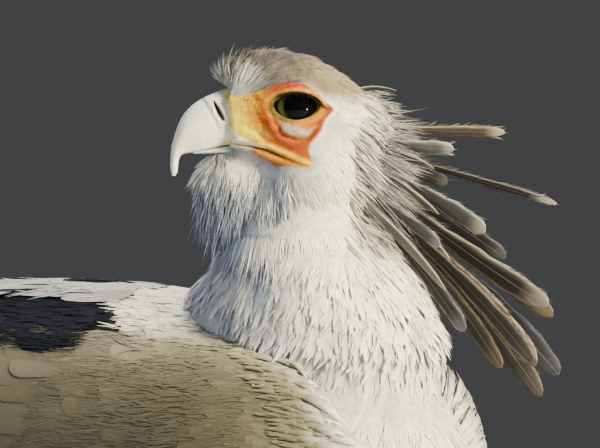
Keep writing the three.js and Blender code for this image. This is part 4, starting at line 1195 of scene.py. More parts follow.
def small_vanes(coat, tpl, roots, field, seed, length, width, lift, bend, kind="body", stray=0.12, tint=0.07, colours=markings, lie=lie_of, soften=0.55, edge=0.0, thick=0.25):
    r = np.random.default_rng(seed)
    n = gradient(field, roots, 2.5)
    d = lie(roots, n) + r.normal(0, stray, roots.shape)
    d = unit(d - n * (d * n).sum(1, keepdims=True))
    length = length * np.exp(r.normal(0, 0.09, len(roots)))
    co, nn = feathers(tpl, roots, n, d, length, width * np.exp(r.normal(0, 0.09, len(roots))), lift + r.normal(0, 0.03, len(roots)), bend, kind, thick=thick, camber=0.09, roll=r.normal(0, 0.12, len(roots)), sink=0.6, soften=soften)
    col = (colours(roots) * (1 + tint * r.normal(0, 1, len(roots)))[:, None])[:, None]
    # each vane darker towards its root: painted shade where the feathers overlap
    col = col * mix(0.74, 1.05, np.clip(tpl.s * 1.2, 0, 1))[None, :, None]
    if edge:
        rim = np.maximum(step(0.7, 1.0, tpl.s), np.abs(tpl.t) ** 3 * 0.7)
        col = mix(col, np.minimum(col * 1.9 + 0.08, 0.82), (rim * edge)[None, :, None])
    coat.add(tpl, co, unwrap(roots), col, normals=nn, rnd=r.random(len(roots)))


def region(p):
    """Shares of brow tuft, hanging throat, rim of the face and neck at roots on the head and neck."""
    q = to_head(p)
    x, y, z = q[:, 0], np.abs(q[:, 1]), q[:, 2]
    brow = step(27, 41, x) * step(6, 13, z)
    chin = step(6, 18, x) * step(-23, -31, z)
    rim = step(-13, -0.5, bare_depth(p)) * (1 - brow) * (1 - chin)
    neck = step(905, 880, p[:, 2]) * (1 - chin)
    return brow, chin, rim, neck


def head_density(p):
    brow, chin, rim, neck = region(p)
    q = to_head(p)
    d = mix(0.50, 1.25, rim)
    d = mix(d, 0.75, brow)
    d = mix(d, 0.46 + 0.25 * step(-40, -52, q[:, 2]), chin)
    d = mix(d, 0.26, neck)
    hidden = (q[:, 0] > 47) & (np.abs(q[:, 1]) < 12) & (q[:, 2] < 8) & (q[:, 2] > -17)
    return d * (bare_depth(p) < 0.3) * ~hidden * (p[:, 2] > 858)


thin_out = 1.0
roots = scatter(head_pts, head_quads, lambda p: head_density(p) * 2.35 * thin_out, seed=3)
brow, chin, rim, neck = region(roots)
long_one = (chin > 0.35) | (brow > 0.4)
jitter = np.random.default_rng(4).random(len(roots))
L = mix(8.8, 4.6, rim)
L = mix(L, 14.5, neck)
L = mix(L, 7.5 + 4.5 * jitter, brow)
low = step(-34, -52, to_head(roots)[:, 2])
L = mix(L, 11.0 + 5 * jitter + 9 * low, chin)
W = mix(mix(mix(0.8, 0.5, rim), 0.95, neck), 0.62, np.maximum(brow, chin))
lift = mix(mix(0.13, 0.09, rim), 0.11, neck)
lift = mix(mix(lift, 0.16, brow), 0.03, chin)
bend = mix(mix(0.18, 0.13, rim), 0.20, neck)
bend = mix(mix(bend, 0.25, brow), 0.1, chin)
soft_mat = plumage_look("head_down", barbs=14, slant=3, depth=0.25, rough=0.9, sheen=0.1, contrast=0.12)
order = np.random.default_rng(8).permutation(len(roots))
short = order[~long_one[order]]
half = len(short) // 2
for k, part in enumerate((short[:half], short[half:])):
    coat = Coat()
    strands(coat, HAIR, roots[part], f_flesh, 20 + k, L[part], W[part], lift[part], bend[part], each=9, gather=0.5, tint=0.06, deep=0.88, soften=0.8)
    coat.build("down_head_%d" % (k + 1), soft_mat, "head_plumage")
part = order[long_one[order]]
half = len(part) // 2
hanging = np.clip(chin * 1.3, 0, 1) * (chin > 0.35)
for k, some in enumerate((part[:half], part[half:])):
    coat = Coat()
    strands(coat, HAIR_LONG, roots[some], f_flesh, 30 + k, L[some], W[some], lift[some], bend[some], gather=1.0, each=10, tint=0.2, stray=0.10, deep=0.86, soften=0.5, free=hanging[some])
    coat.build("down_tufts_%d" % (k + 1), soft_mat, "head_plumage")
print("head strands", len(short), len(part))


def nape_density(p):
    q = to_head(p)
    return 0.95 * step(-15, -27, q[:, 0]) * step(22, 12, q[:, 2]) * step(860, 892, p[:, 2])


def nape_colours(p):
    return mix(srgb(230, 223, 206), srgb(190, 183, 174), step(-0.2, 0.9, wave(p, 9, 34))[:, None])


roots = scatter(head_pts, head_quads, lambda p: nape_density(p) * thin_out, seed=12)
r = np.random.default_rng(13)
n = len(roots)
nn = gradient(f_flesh, roots, 1.5)
middle, lock, count = locks(roots, 14, 14)
stand = np.clip(r.normal(0.36, 0.2, count), 0.08, 0.9)[lock] * mix(0.7, 1.1, step(12, -30, to_head(roots)[:, 2])) * mix(0.25, 1.0, step(864, 890, roots[:, 2]))
low = step(0, -40, to_head(roots)[:, 2])[:, None]
d = unit(lie_of(roots, nn) * mix(0.75, 1.0, low) - FLAT * 0.5 + np.array([0, 0, -0.25]))
d = unit(d + nn * (stand - (d * nn).sum(1))[:, None] + (middle - roots) * 0.05 + r.normal(0, 0.08, roots.shape))
up = nn * 0.6 + E2 * np.sign((roots - HEAD_AT) @ E2)[:, None] * 0.25 + np.array([0, 0, 0.45])
up = unit(up - d * (d * up).sum(1, keepdims=True))
size = 17 * np.exp(r.normal(0, 0.16, count)[lock] + r.normal(0, 0.14, n)) * mix(0.7, 1.15, step(12, -20, to_head(roots)[:, 2]))
co, sn = feathers(HAIR_LONG, roots - nn * 0.5, up, d, size, 0.95, 0.04, 0.25, "hair", thick=0.2, sink=0.2, soften=0.25)
tone = nape_colours(roots) * (1 + 0.09 * r.normal(0, 1, count)[lock] + 0.05 * r.normal(0, 1, n))[:, None]
coat = Coat()
coat.add(HAIR_LONG, co, unwrap(roots), tone[:, None] * mix(0.98, 0.92, HAIR_LONG.s)[None, :, None], normals=sn, rnd=r.random(n))


def lore_density(p):
    q = to_head(p)
    x, z = q[:, 0], q[:, 2]
    return 1.1 * step(0.4, 1.4, bare_depth(p)) * step(21, 25, x) * step(45, 41, x) * step(-12, -8, z)


roots = scatter(head_pts, head_quads, lambda p: lore_density(p) * thin_out, seed=15)
one = np.ones(len(roots))
strands(coat, HAIR, roots, f_flesh, 60, 2.3 * one, 0.24 * one, 0.22 * one, 0.2 * one, gather=0.2, each=5, tint=0.14, stray=0.2, colours=lambda p: face_colours(p) * 0.86, thick=0.1)
coat.build("down_nape", soft_mat, "head_plumage")
print("nape strands", n, "bristles", len(roots))


def body_zone(p):
    """1 on the parts of trunk, breast and thighs that the folded wings leave open."""
    q = to_head(p)
    return (1 - wing_mask(p)) * (p[:, 2] < 862) * (p[:, 2] > 368)


def f_smooth(p):
    return f_flesh(p, False) + 0.8


def vane_density(p):
    f = -p[:, 1]
    leg = step(640, 600, p[:, 2])
    d = mix(0.021, 0.030, step(780, 850, p[:, 2]))
    d = mix(d, 0.030, leg)
    return d * body_zone(p)


roots = scatter(body_pts, body_quads, lambda p: vane_density(p) * thin_out, seed=5)
f, z = -roots[:, 1], roots[:, 2]
front = step(740, 850, z) * step(-20, 60, f)
leg = step(650, 600, z)
rump = step(-160, -230, f)
L = mix(mix(mix(27, 18, front), 24 - 9 * step(560, 400, z), leg), 40, rump)
W = mix(mix(mix(16, 11, front), 13 - 5 * step(560, 400, z), leg), 19, rump)


def body_lie(p, n):
    """As lie_of, but down the thighs below the belly."""
    d = lie_of(p, n)
    down = np.stack([np.zeros(len(p)), np.full(len(p), 0.35), np.full(len(p), -1.0)], 1)
    d = mix(d, down, step(665, 625, p[:, 2])[:, None] * step(130, 60, np.abs(-p[:, 1] - 10))[:, None])
    d = d - n * (d * n).sum(1, keepdims=True)
    return unit(d)


def front_share(p):
    """1 on the neck and breast, 0 behind and below."""
    return step(690, 745, p[:, 2]) * step(-40, 20, -p[:, 1])


body_mat = plumage_look("body_feathers", barbs=60, slant=16, depth=0.4, rough=0.9, sheen=0.12, contrast=0.2)
coat = Coat()
keep = front_share(roots) < np.random.default_rng(17).uniform(0.05, 0.95, len(roots))
small_vanes(coat, VANE, roots[keep], f_smooth, 41, L[keep], W[keep], mix(0.08, 0.04, front)[keep], 0.10, lie=body_lie, soften=0.75, tint=0.03)
coat.build("feathers_body", body_mat, "pale_plumage")
print("body vanes", keep.sum())

def off_shoulder(p):
    """0 just ahead of the wing's shoulder, where a breast feather's tip would stand through the coverts."""
    return ~((np.abs(p[:, 0]) > 56) & (np.abs(-p[:, 1] - 112) < 22) & (np.abs(p[:, 2] - 808) < 20))


roots = scatter(body_pts, body_quads, lambda p: 0.105 * front_share(p) * body_zone(p) * off_shoulder(p) * thin_out, most=10200, seed=18)
high = step(740, 840, roots[:, 2])
order = np.random.default_rng(19).permutation(len(roots))
down_mat = plumage_look("breast_feathers", barbs=34, slant=7, depth=0.45, rough=0.9, sheen=0.1, contrast=0.16)
for k, part in enumerate((order[::2], order[1::2])):
    coat = Coat()
    h = high[part]
    small_vanes(coat, VANE, roots[part], f_smooth, 43 + k, mix(25, 18, h), mix(5.6, 3.8, h), 0.085, 0.09, kind="lance", lie=body_lie, soften=0.8, tint=0.035, stray=0.13)
    coat.build("feathers_breast_%d" % (k + 1), down_mat, "pale_plumage")
print("breast vanes", len(roots))


def wisp_density(p):
    d = mix(0.04, 0.40, front_share(p))
    return d * body_zone(p) * (p[:, 2] > 600)


roots = scatter(body_pts, body_quads, lambda p: wisp_density(p) * thin_out, most=24600, seed=6)
high = step(740, 830, roots[:, 2])
order = np.random.default_rng(9).permutation(len(roots))
for k, part in enumerate((order[::2], order[1::2])):
    coat = Coat()
    h = high[part]
    one = np.ones(len(part))
    strands(coat, HAIR, roots[part], f_smooth, 51 + k, mix(21, 16, h), mix(0.95, 0.75, h), 0.13 * one, 0.14 * one, gather=1.4, each=9, tint=0.05, stray=0.09, lie=body_lie, deep=0.94, soften=0.82)
    coat.build("down_breast_%d" % (k + 1), soft_mat, "pale_plumage")
print("breast strands", len(roots))


# ------------------------------------------------------------------ folded wings
def wing_point(side, f, deg, off):
    top, low, w = core_at(f)
    t = np.radians(deg)
    c, s, e = np.cos(t), np.sin(t), 2 / P_BODY
    zc, h = (top + low) / 2, (top - low) / 2
    x, z = w * np.sign(c) * np.abs(c) ** e, h * np.sign(s) * np.abs(s) ** e
    nx, nz = c / w, s / h
    k = np.hypot(nx, nz)
    return np.stack([side * (x + off * nx / k), -f + 0 * x, zc + z + off * nz / k], -1)


def wing_face(side, f, deg, extra=0.0):
    """Points on the folded wing's outer face."""
    up, low, thick = wing_at(f)
    u = np.clip((up - deg) / (up - low), 0, 1)
    return wing_point(side, f, deg, thick * (0.72 + 0.28 * np.sin(np.pi * u)) + extra)


def wing_frame(side, f, deg, extra, veer):
    """Root, outward normal and lie on a folded wing; veer is degrees round the body for each millimetre back."""
    p = wing_face(side, f, deg, extra)
    back = wing_face(side, f - 4, deg + 4 * veer, extra) - p
    turn = wing_face(side, f, deg + 2, extra) - p
    n = unit(np.cross(turn, back)) * side
    n = n * np.sign((n * (p - np.stack([0 * f, -f, 735 + 0 * f], -1))).sum(-1, keepdims=True))
    return p, n, unit(back)


def wing_uv(side, f, deg):
    return np.stack([0.5 + side * (0.05 + 0.40 * (np.clip(deg, -50, 100) + 50) / 150), np.interp(f, [-500, 160], [0.02, 0.98])], -1)


def quills(tpl, root, tip, nrm, width, bow=0.0, kind="quill", thick=0.4, camber=0.04, roll=0.0, skew=0.0, soften=0.25, curve=0.0):
    """Long feathers from root to tip; nrm is the way the upper face looks, bow lifts the middle, curve bends it sideways."""
    N = len(root)
    full = lambda x: np.broadcast_to(np.asarray(x, float), (N,))[:, None]
    width, bow, thick, camber, roll, skew, curve = map(full, (width, bow, thick, camber, roll, skew, curve))
    s, t, h = tpl.s[None], tpl.t[None], tpl.h[None]
    d = unit(tip - root)
    n = unit(nrm - d * (nrm * d).sum(-1, keepdims=True))
    side = np.cross(n, d)
    n, side = n * np.cos(roll) + side * np.sin(roll), side * np.cos(roll) - n * np.sin(roll)
    w = width * outline(kind, tpl.s)[None]
    line = root[:, None] + (tip - root)[:, None] * s[..., None]
    rise = bow * 4 * s * (1 - s) + thick * h * np.minimum(1, outline(kind, tpl.s)[None] * 1.5) - camber * w * t * t
    rib = np.where(np.abs(t) < 0.2, np.exp(-s * 2.2) * 0.5 * thick * np.sign(h + 0.01), 0)
    co = line + n[:, None] * (rise + rib)[..., None] + side[:, None] * (w * (t * 0.5 + skew * (1 - 0.5 * np.abs(t))) + curve * 4 * s * (1 - s))[..., None]
    geo = unit(n[:, None] * np.sign(h)[..., None] + side[:, None] * (t * 0.35)[..., None])
    return co, unit(geo * (1 - soften) + n[:, None] * soften * np.where(h < -0.9, -1, 1)[..., None])


covert_mat = plumage_look("wing_feathers", barbs=70, slant=18, depth=0.35, rough=0.88, sheen=0.12, shaft=0.016, shaft_colour=tuple(srgb(88, 82, 74)), contrast=0.16)
quill_mat = plumage_look("flight_feathers", barbs=150, slant=34, depth=0.5, rough=0.6, sheen=0.02, shaft=0.035, shaft_colour=tuple(srgb(40, 36, 36)), contrast=0.3)
COVERT, COVERT_PALE, INK = srgb(93, 87, 67), srgb(226, 218, 204), srgb(34, 36, 46)


def wing_tone(f, deg):
    """Ground colour of the folded wing's coverts, with painted sunlight paling them up to the shoulder."""
    col = np.broadcast_to(COVERT, (len(f), 3)).copy()
    col = mix(col, srgb(104, 100, 84), step(10, -25, deg)[:, None] * 0.6)
    col = mix(col, srgb(114, 107, 86), (step(34, 54, deg) * step(-40, 10, f))[:, None])
    # paler up to the shoulder: painted sunlight on the top of the wing
    col = mix(col, srgb(176, 167, 138), (step(46, 62, deg) * step(0, 70, f))[:, None] * 0.7)
    p = np.stack([deg * 1.6, f, 0 * f], 1)
    col = col * (1 + 0.07 * wave(p, 60, 75))[:, None]
    return col


def build_wing(side):
    tag = "L" if side > 0 else "R"
    r = np.random.default_rng(70 + side)
    coat = Coat()

    def follow(f, deg, extra, length, nn, d):
        """How far the wing's face turns away under feathers of this length."""
        _, n2, _ = wing_frame(side, f - length * 0.9, deg, extra, np.zeros(len(f)))
        return np.clip(np.arcsin(np.clip((n2 * d).sum(1), -0.9, 0.9)), -0.25, 0.9)

    def vanes(tpl, f, deg, length, width, extra, veer, lift, bend, col, kind="covert", camber=0.08, tint=0.05, edge=0.5, thick=0.3, stray=0.05, roll=0.06):
        n = len(f)
        p, nn, d = wing_frame(side, f, deg, extra, veer)
        d = d + r.normal(0, stray, d.shape)
        d = unit(d - nn * (d * nn).sum(1, keepdims=True))
        length = length * np.exp(r.normal(0, 0.05, n))
        bend = bend + follow(f, deg, extra, length, nn, d)
        co, sn = feathers(tpl, p, nn, d, length, width * np.exp(r.normal(0, 0.05, n)), lift + r.normal(0, 0.004, n), bend, kind, thick=thick, camber=camber, roll=r.normal(0, roll, n) - side * 0.02, sink=0.4, soften=0.8)
        # each covert darker towards its root: painted shade where the feathers overlap
        c = (col * (1 + tint * r.normal(0, 1, n))[:, None])[:, None] * mix(0.84, 1.03, np.clip(tpl.s * 1.15, 0, 1))[None, :, None]
        rim = np.maximum(step(0.84, 1.0, tpl.s), step(0.72, 1.0, np.abs(tpl.t)) * 0.6 * step(0.1, 0.5, tpl.s))
        c = mix(c, np.minimum(c * 1.45 + 0.05, 0.86), (rim * edge)[None, :, None])
        coat.add(tpl, co, wing_uv(side, f, deg), c, normals=sn, rnd=r.random(n), patch=0.012 if tpl is QUILL else 0.006)

    def long_ones(f0, deg0, f1, deg1, width, e0, e1, col, bow, roll, kind="quill", edge=0.25, camber=0.05, thick=0.45, skew=0.0):
        n = len(f0)
        root, nn, _ = wing_frame(side, f0, deg0, e0, np.zeros(n))
        tip, nt, _ = wing_frame(side, f1, deg1, e1, np.zeros(n))
        co, sn = quills(QUILL, root, tip, unit(nn + nt), width, bow, kind, thick, camber, roll, skew)
        c = (col * (1 + 0.06 * r.normal(0, 1, n))[:, None])[:, None] * np.ones((1, len(QUILL.s), 1))
        rim = np.maximum(step(0.93, 1.0, QUILL.s), step(0.8, 1.0, np.abs(QUILL.t)) * 0.7)
        c = mix(c, c * 2.0 + 0.03, (rim * edge)[None, :, None])
        coat.add(QUILL, co, wing_uv(side, f0, deg0), c, normals=sn, rnd=r.random(n), patch=0.02)

    # an under-layer that closes the wing below its feathers
    fs = np.concatenate([np.linspace(-478, -300, 12), np.linspace(-280, 138, 26)])
    rings = []
    for f in fs:
        up, low, thick = [float(v[0]) for v in wing_at(np.array([f]))]
        u = np.linspace(0.03, 0.97, 26)
        deg = up + (low - up) * u
        outer = wing_face(side, np.full(26, f), deg, -3.4 if f > -300 else -0.9)
        inner = wing_point(side, np.full(26, f), deg[::-1], -2.0 if f > -262 else 0.0)
        rings.append(np.concatenate([outer, inner]))
    rings = np.array(rings)
    pts, quads, tris = lofted(rings if side > 0 else rings[:, ::-1])
    deg = np.degrees(np.arctan2(pts[:, 2] - 735, np.abs(pts[:, 0])))
    # darkened to 0.55 under the coverts as painted shade in the gaps between them, lighter at the front edge, black
    # under the flight feathers
    base = mix(wing_tone(-pts[:, 1], deg) * mix(0.55, 1.3, step(50, 110, -pts[:, 1]))[:, None], INK, step(-40, -120, -pts[:, 1])[:, None])
    under = make("wing_under_" + tag, pts, quads, tris, {"OFBake": wing_uv(side, -pts[:, 1], deg), "barb": wing_uv(side, -pts[:, 1], deg)}, {"col": base, "rnd": np.full(len(pts), 0.5)})
    finish_piece(under, covert_mat, ("wing_" + tag,))

    # primaries, then secondaries, from the lowest up
    coverts, coat = coat, Coat()
    k = np.arange(9)
    long_ones(-150.0 - 3 * k, 2 + 3.0 * k, -483 + 15 * k, 2 - 3.5 * k, 30.0 + 0 * k, 0.5 + 0.3 * k, 0.4 + 0.35 * k, np.tile(INK * 0.8, (9, 1)), 1.0, -side * 0.05)
    k = np.arange(13)
    s = k / 12
    long_ones(-20 - 90 * s, -14 + 44 * s, -225 - 175 * s ** 0.9, -35 + 82 * s, 38.0 + 4 * s, 1.2 + 0.1 * k, 1.6 + 0.32 * k, np.tile(INK, (13, 1)), 2.0, -side * 0.06, edge=0.35)
    # dark inner flight feathers on the upper side: their own black, deepened and tinted blue as painted shade
    k = np.arange(11)
    s = k / 10
    long_ones(6 - 26 * s, 42 + 36 * s, -262 - 60 * np.sin(s * 3), 40 + 32 * s, 38.0 + 0 * s, 2.0 + 0.32 * k, 2.8 + 0.36 * k, np.tile(INK * 0.5, (11, 1)), 2.0, -side * 0.07, edge=0.1)
    # near-black bluish vanes: the feathers' own black deepened as painted shade
    for f_row, gap_row, len_row, tone_row in ((-118, 8.5, 92, 0.35), (-86, 8.0, 84, 0.5), (-52, 7.5, 72, 0.6), (-26, 7.0, 58, 0.7)):
        deg = np.arange(53 + 0.04 * abs(f_row + 26), 86, gap_row)
        deg = deg + r.uniform(-2, 2, len(deg))
        f = f_row - 0.55 * (deg - 60) + r.normal(0, 3, len(deg))
        vanes(VANE_FINE, f, deg, len_row, 26, 3.2, np.full(len(deg), -0.02), 0.03, 0.05, np.tile(mix(INK * 0.25, srgb(18, 21, 32), tone_row), (len(deg), 1)), edge=0.05, tint=0.08, kind="body")

    n = 1700
    deg = 47 + 37 * r.random(n) ** 0.8
    f = r.uniform(-200, -20, n)
    p, nn, d = wing_frame(side, f, deg, 5.4, np.full(n, -0.02))
    d = d + r.normal(0, 0.12, d.shape)
    d = unit(d - nn * (d * nn).sum(1, keepdims=True))
    co, sn = feathers(HAIR, p, nn, d, r.uniform(11, 24, n), r.uniform(0.6, 1.3, n), 0.05, 0.12, "hair", thick=0.2, sink=0.8, soften=0.7)
    # near-black bluish strands: the feathers' own black deepened as painted shade
    tone = mix(INK * 0.25, srgb(27, 31, 44), r.random(n)[:, None])
    coat.add(HAIR, co, wing_uv(side, f, deg), tone[:, None] * np.ones((1, len(HAIR.s), 1)), normals=sn, rnd=r.random(n))
    coat.build("wing_slate_" + tag, quill_mat, "black_plumage")
    coat = coverts

    def rows(f0, deg_lo, deg_hi, gap, length, width, extra, tpl, lift, bend, slant=0.55, veer=-0.04, edge=0.5, kind="covert"):
        deg = np.arange(deg_lo, deg_hi, gap / 1.65) + r.uniform(-1, 1)
        deg = deg + r.normal(0, gap * 0.10, len(deg))
        f = f0 - slant * (deg + 20) + r.normal(0, 2.2, len(deg))
        up, lo, _ = wing_at(f)
        keep = (deg < up + 1) & (deg > lo - 2) & (f < 140)
        deg, f = deg[keep], f[keep]
        if len(f):
            vanes(tpl, f, deg, length, width, extra, np.full(len(f), veer), lift, bend, wing_tone(f, deg), edge=edge * 0.45, stray=0.05, roll=0.015, tint=0.022, camber=0.05, thick=0.12, kind=kind)

    rows(-92, -30, 51, 12, 108, 33, 2.4, VANE_FINE, 0.028, 0.045, edge=0.25)
    rows(-62, -31, 52, 11, 88, 30, 3.0, VANE_FINE, 0.03, 0.045, edge=0.25)
    rows(-36, -31, 53, 10, 70, 28, 3.4, VANE_FINE, 0.032, 0.05, edge=0.22)
    f0 = -16.0
    while f0 < 196:
        t = step(-16, 170, f0)
        rows(f0, -30, 52 + 12 * t, 8.6 - 2.4 * t, 50 - 24 * t, 23 - 12 * t, 3.2 - 0.6 * t, VANE_FINE if f0 < 84 else VANE, 0.035, 0.05, edge=0.10)
        f0 += 12.0 - 4.5 * t
    # loose barbs along the coverts' tips
    n = 7000
    deg = r.uniform(-30, 58, n)
    f = r.uniform(-100, 142, n)
    up, lo, _ = wing_at(f)
    keep = (deg < up) & (deg > lo)
    deg, f = deg[keep], f[keep]
    p, nn, d = wing_frame(side, f, deg, 4.25 - 0.85 * step(40, 130, f), np.full(len(f), -0.04))
    d = d + r.normal(0, 0.14, d.shape)
    d = unit(d - nn * (d * nn).sum(1, keepdims=True))
    long = r.uniform(9, 18, len(f))
    co, sn = feathers(HAIR, p, nn, d, long, r.uniform(0.6, 1.2, len(f)), 0.05, 0.10 + follow(f, deg, 4.0, long, nn, d), "hair", thick=0.2, sink=0.8, soften=0.75)
    tone = wing_tone(f, deg) * (1.04 + 0.09 * r.normal(0, 1, len(f)))[:, None]
    coat.add(HAIR, co, wing_uv(side, f, deg), tone[:, None] * np.ones((1, len(HAIR.s), 1)), normals=sn, rnd=r.random(len(f)))
    coat.build("wing_feathers_" + tag, covert_mat, "wing_plumage")

    # breast feathers that lap over the wing's front edge
    coat = Coat()
    for tpl, n, lo, hi, wide, deep in ((VANE, 320, 0, 14, 11.0, 5), (VANE, 760, 3, 20, 6.0, 0), (HAIR, 2200, 2, 26, 1.0, 0)):
        rim = r.uniform(-31, 68, n)
        fe = np.interp(rim, [-31, -30, -26, -20, -11, -3, 15, 30, 41, 51, 61, 71], [48, 84, 108, 126, 136, 142, 142, 136, 126, 108, 84, 48])
        f0, deg0 = fe + r.uniform(2, 15, n), rim + r.normal(0, 2, n)
        root = wing_point(side, f0, deg0, r.uniform(-6, -3, n) - deep)
        f1, deg1 = fe - r.uniform(lo, hi, n), deg0 - r.uniform(-1, 4, n)
        tip, nt, _ = wing_frame(side, f1, deg1, 2.6 - 0.3 * deep + r.uniform(0, 1.4, n), np.zeros(n))
        co, sn = quills(tpl, root, tip, nt, wide * np.exp(r.normal(0, 0.12, n)), r.uniform(5.5, 7.5, n), "lance" if tpl is VANE else "hair", 0.25, 0.03, 0.0, 0.0, soften=0.25)
        tone = mix((markings(root) * 0.96)[:, None], wing_tone(f1, deg1)[:, None], step(0.2, 0.7, tpl.s)[None, :, None]) * (1 + 0.04 * r.normal(0, 1, n))[:, None, None]
        coat.add(tpl, co, unwrap(root), tone, normals=sn, rnd=r.random(n))
    coat.build("feathers_side_" + tag, down_mat, "pale_plumage")

    # shoulder feathers with loose tips, pale on top with painted sunlight, over the top of the wing and the back; their
    # hind rim runs slantwise
    coat = Coat()

    def shoulder(f, deg, length, width, extra, tone, m=16, lift=0.07, tpl=VANE_FINE):
        vanes(tpl, f, deg, length, width, extra, np.full(len(f), 0.02), lift, 0.14, tone, edge=0.12, stray=0.10, roll=0.12, tint=0.04)
        ff, dd, ll = np.repeat(f, m), np.repeat(deg, m), np.repeat(length, m)
        nf = len(ff)
        back = r.uniform(0.3, 0.98, nf) * ll
        ff2, dd2 = ff - back, dd + r.normal(0, 3.0, nf)
        p, nn, d = wing_frame(side, ff2, dd2, np.repeat(extra, m) + 1.2 + back * (lift - 0.06), np.zeros(nf))
        d = d + r.normal(0, 0.2, d.shape)
        d = unit(d - nn * (d * nn).sum(1, keepdims=True))
        co, sn = feathers(HAIR, p, nn, d, r.uniform(9, 18, nf), r.uniform(0.8, 1.6, nf), r.normal(0.07, 0.07, nf), 0.15, "hair", thick=0.2, sink=0.8, soften=0.75)
        tn = np.repeat(tone, m, 0) * (1 + 0.06 * r.normal(0, 1, nf))[:, None]
        coat.add(HAIR, co, wing_uv(side, ff2, dd2), tn[:, None] * np.ones((1, len(HAIR.s), 1)), normals=sn, rnd=r.random(nf))

    for j in range(13):
        deg = np.arange(54, 99, 6.4) + r.uniform(-2, 2)
        f = 34 - 2.1 * (np.clip(deg, 58, 90) - 60) + j * 9.5 + r.normal(0, 3, len(deg))
        up, _, _ = wing_at(f)
        keep = (deg < np.where(f > 12, up + 6, 99)) & (f < 118)
        f, deg = f[keep], deg[keep]
        if not len(f):
            continue
        t = step(-40, 100, f)
        # near-white cream on the top is painted sunlight; lower down the feathers take the coverts' brown-grey
        tone = mix(srgb(255, 248, 222), srgb(128, 119, 92), step(72, 53, deg)[:, None])
        shoulder(f, deg, 46 - 18 * t, 24 - 8 * t, 5.4 - 3.6 * t + 0 * f, tone)
    # pale grey feathers down the middle of the back
    for j in range(16):
        deg = np.arange(80, 100, 7.5) + r.uniform(-2, 2)
        f = -228 + j * 13 + 0.3 * (90 - deg) + r.normal(0, 3, len(deg))
        tone = mix(srgb(206, 200, 190), srgb(176, 172, 170), step(86, 79, deg)[:, None]) + 0 * f[:, None]
        shoulder(f, deg, 52 + 0 * f, 25, mix(9.0, 7.0, step(-150, -40, f)), tone, m=9)
    coat.build("shoulder_feathers_" + tag, body_mat, "wing_plumage")
    print("wing", tag, coat.n)


build_wing(1)
build_wing(-1)


# ------------------------------------------------------------------ tail
TAIL_DIR = np.array([0, math.cos(rad(21)), -math.sin(rad(21))])
TAIL_UP = np.array([0, math.sin(rad(21)), math.cos(rad(21))])
TAIL_AT = np.array([0, 205.0, 755.0])
tail_mat = plumage_look("tail_feathers", barbs=170, slant=36, depth=0.5, rough=0.6, sheen=0.1, shaft=0.03, shaft_colour=tuple(srgb(60, 54, 50)), contrast=0.25)


def tail_point(dist, x, up):
    return TAIL_AT + TAIL_DIR * np.asarray(dist)[..., None] + TAIL_UP * np.asarray(up)[..., None] + np.array([1.0, 0, 0]) * np.asarray(x)[..., None]


def tail_colour(s, base, band, tip):
    col = mix(base, srgb(24, 23, 26), (step(band - 0.12, band - 0.03, s) * step(1 - tip + 0.01, 1 - tip - 0.02, s))[..., None])
    return mix(col, srgb(232, 230, 224), step(1 - tip, 1 - tip + 0.03, s)[..., None])


coat = Coat()
r = np.random.default_rng(90)
for k in range(6):
    for sd in (1, -1):
        length = 408 - 26 * k ** 1.25
        root = tail_point(np.array([-20.0]), np.array([sd * (3 + 2.5 * k)]), np.array([2.0 - 0.8 * k]))
        tip = tail_point(np.array([length]), np.array([sd * (11 + 5.6 * k)]), np.array([1.4 - 1.0 * k]))
        co, sn = quills(QUILL, root, tip, TAIL_UP[None], 38.0, 3.0, "quill", 0.5, 0.06, sd * 0.1, sd * 0.05)
        s = QUILL.s
        col = tail_colour(s, srgb(138, 136, 134), 0.88, 0.06)
        wide = tail_colour(s - 0.02, srgb(128, 126, 126), 0.88, 0.06)
        coat.add(QUILL, co, np.array([[0.5 + sd * (0.05 + 0.07 * k), 0.5]]), mix(col, wide, np.abs(QUILL.t)[:, None])[None], normals=sn, patch=0.06)
# coverts over and under the tail's base
for upper in (1, -1):
    n = 150
    dist, x = r.uniform(-45, 120, n), r.normal(0, 0.42, n).clip(-1, 1)
    reach = np.interp(dist, [-45, 0, 120], [30, 27, 40])
    root = tail_point(dist, x * reach * 0.8, upper * np.sqrt(1 - x * x * 0.8) * np.interp(dist, [-45, 0, 60, 120], [19, 16, 8, 3.5]))
    nn = unit(TAIL_UP * upper + np.array([1.0, 0, 0]) * (x * 0.8)[:, None] + 0 * root)
    d = unit(TAIL_DIR + np.array([1.0, 0, 0]) * (x * 0.15)[:, None] + r.normal(0, 0.04, (n, 3)))
    d = unit(d - nn * (d * nn).sum(1, keepdims=True))
    co, sn = feathers(VANE_FINE, root, nn, d, r.uniform(48, 74, n), r.uniform(18, 24, n), 0.03, 0.12, "covert", thick=0.3, camber=0.07, roll=r.normal(0, 0.06, n), sink=0.5, soften=0.4)
    tone = (srgb(232, 230, 226) if upper > 0 else srgb(196, 192, 188)) * (1 + 0.05 * r.normal(0, 1, n))[:, None]
    # each covert darker towards its root: painted shade where the feathers overlap
    coat.add(VANE_FINE, co, np.stack([0.5 + 0.4 * x, 0.05 + 0.4 * (upper > 0) + np.interp(dist, [-45, 120], [0, 0.4])], 1), tone[:, None] * mix(0.8, 1.04, VANE_FINE.s)[None, :, None], normals=sn, patch=0.006)
coat.build("tail_feathers", tail_mat, "tail_plumage", ("tail",))
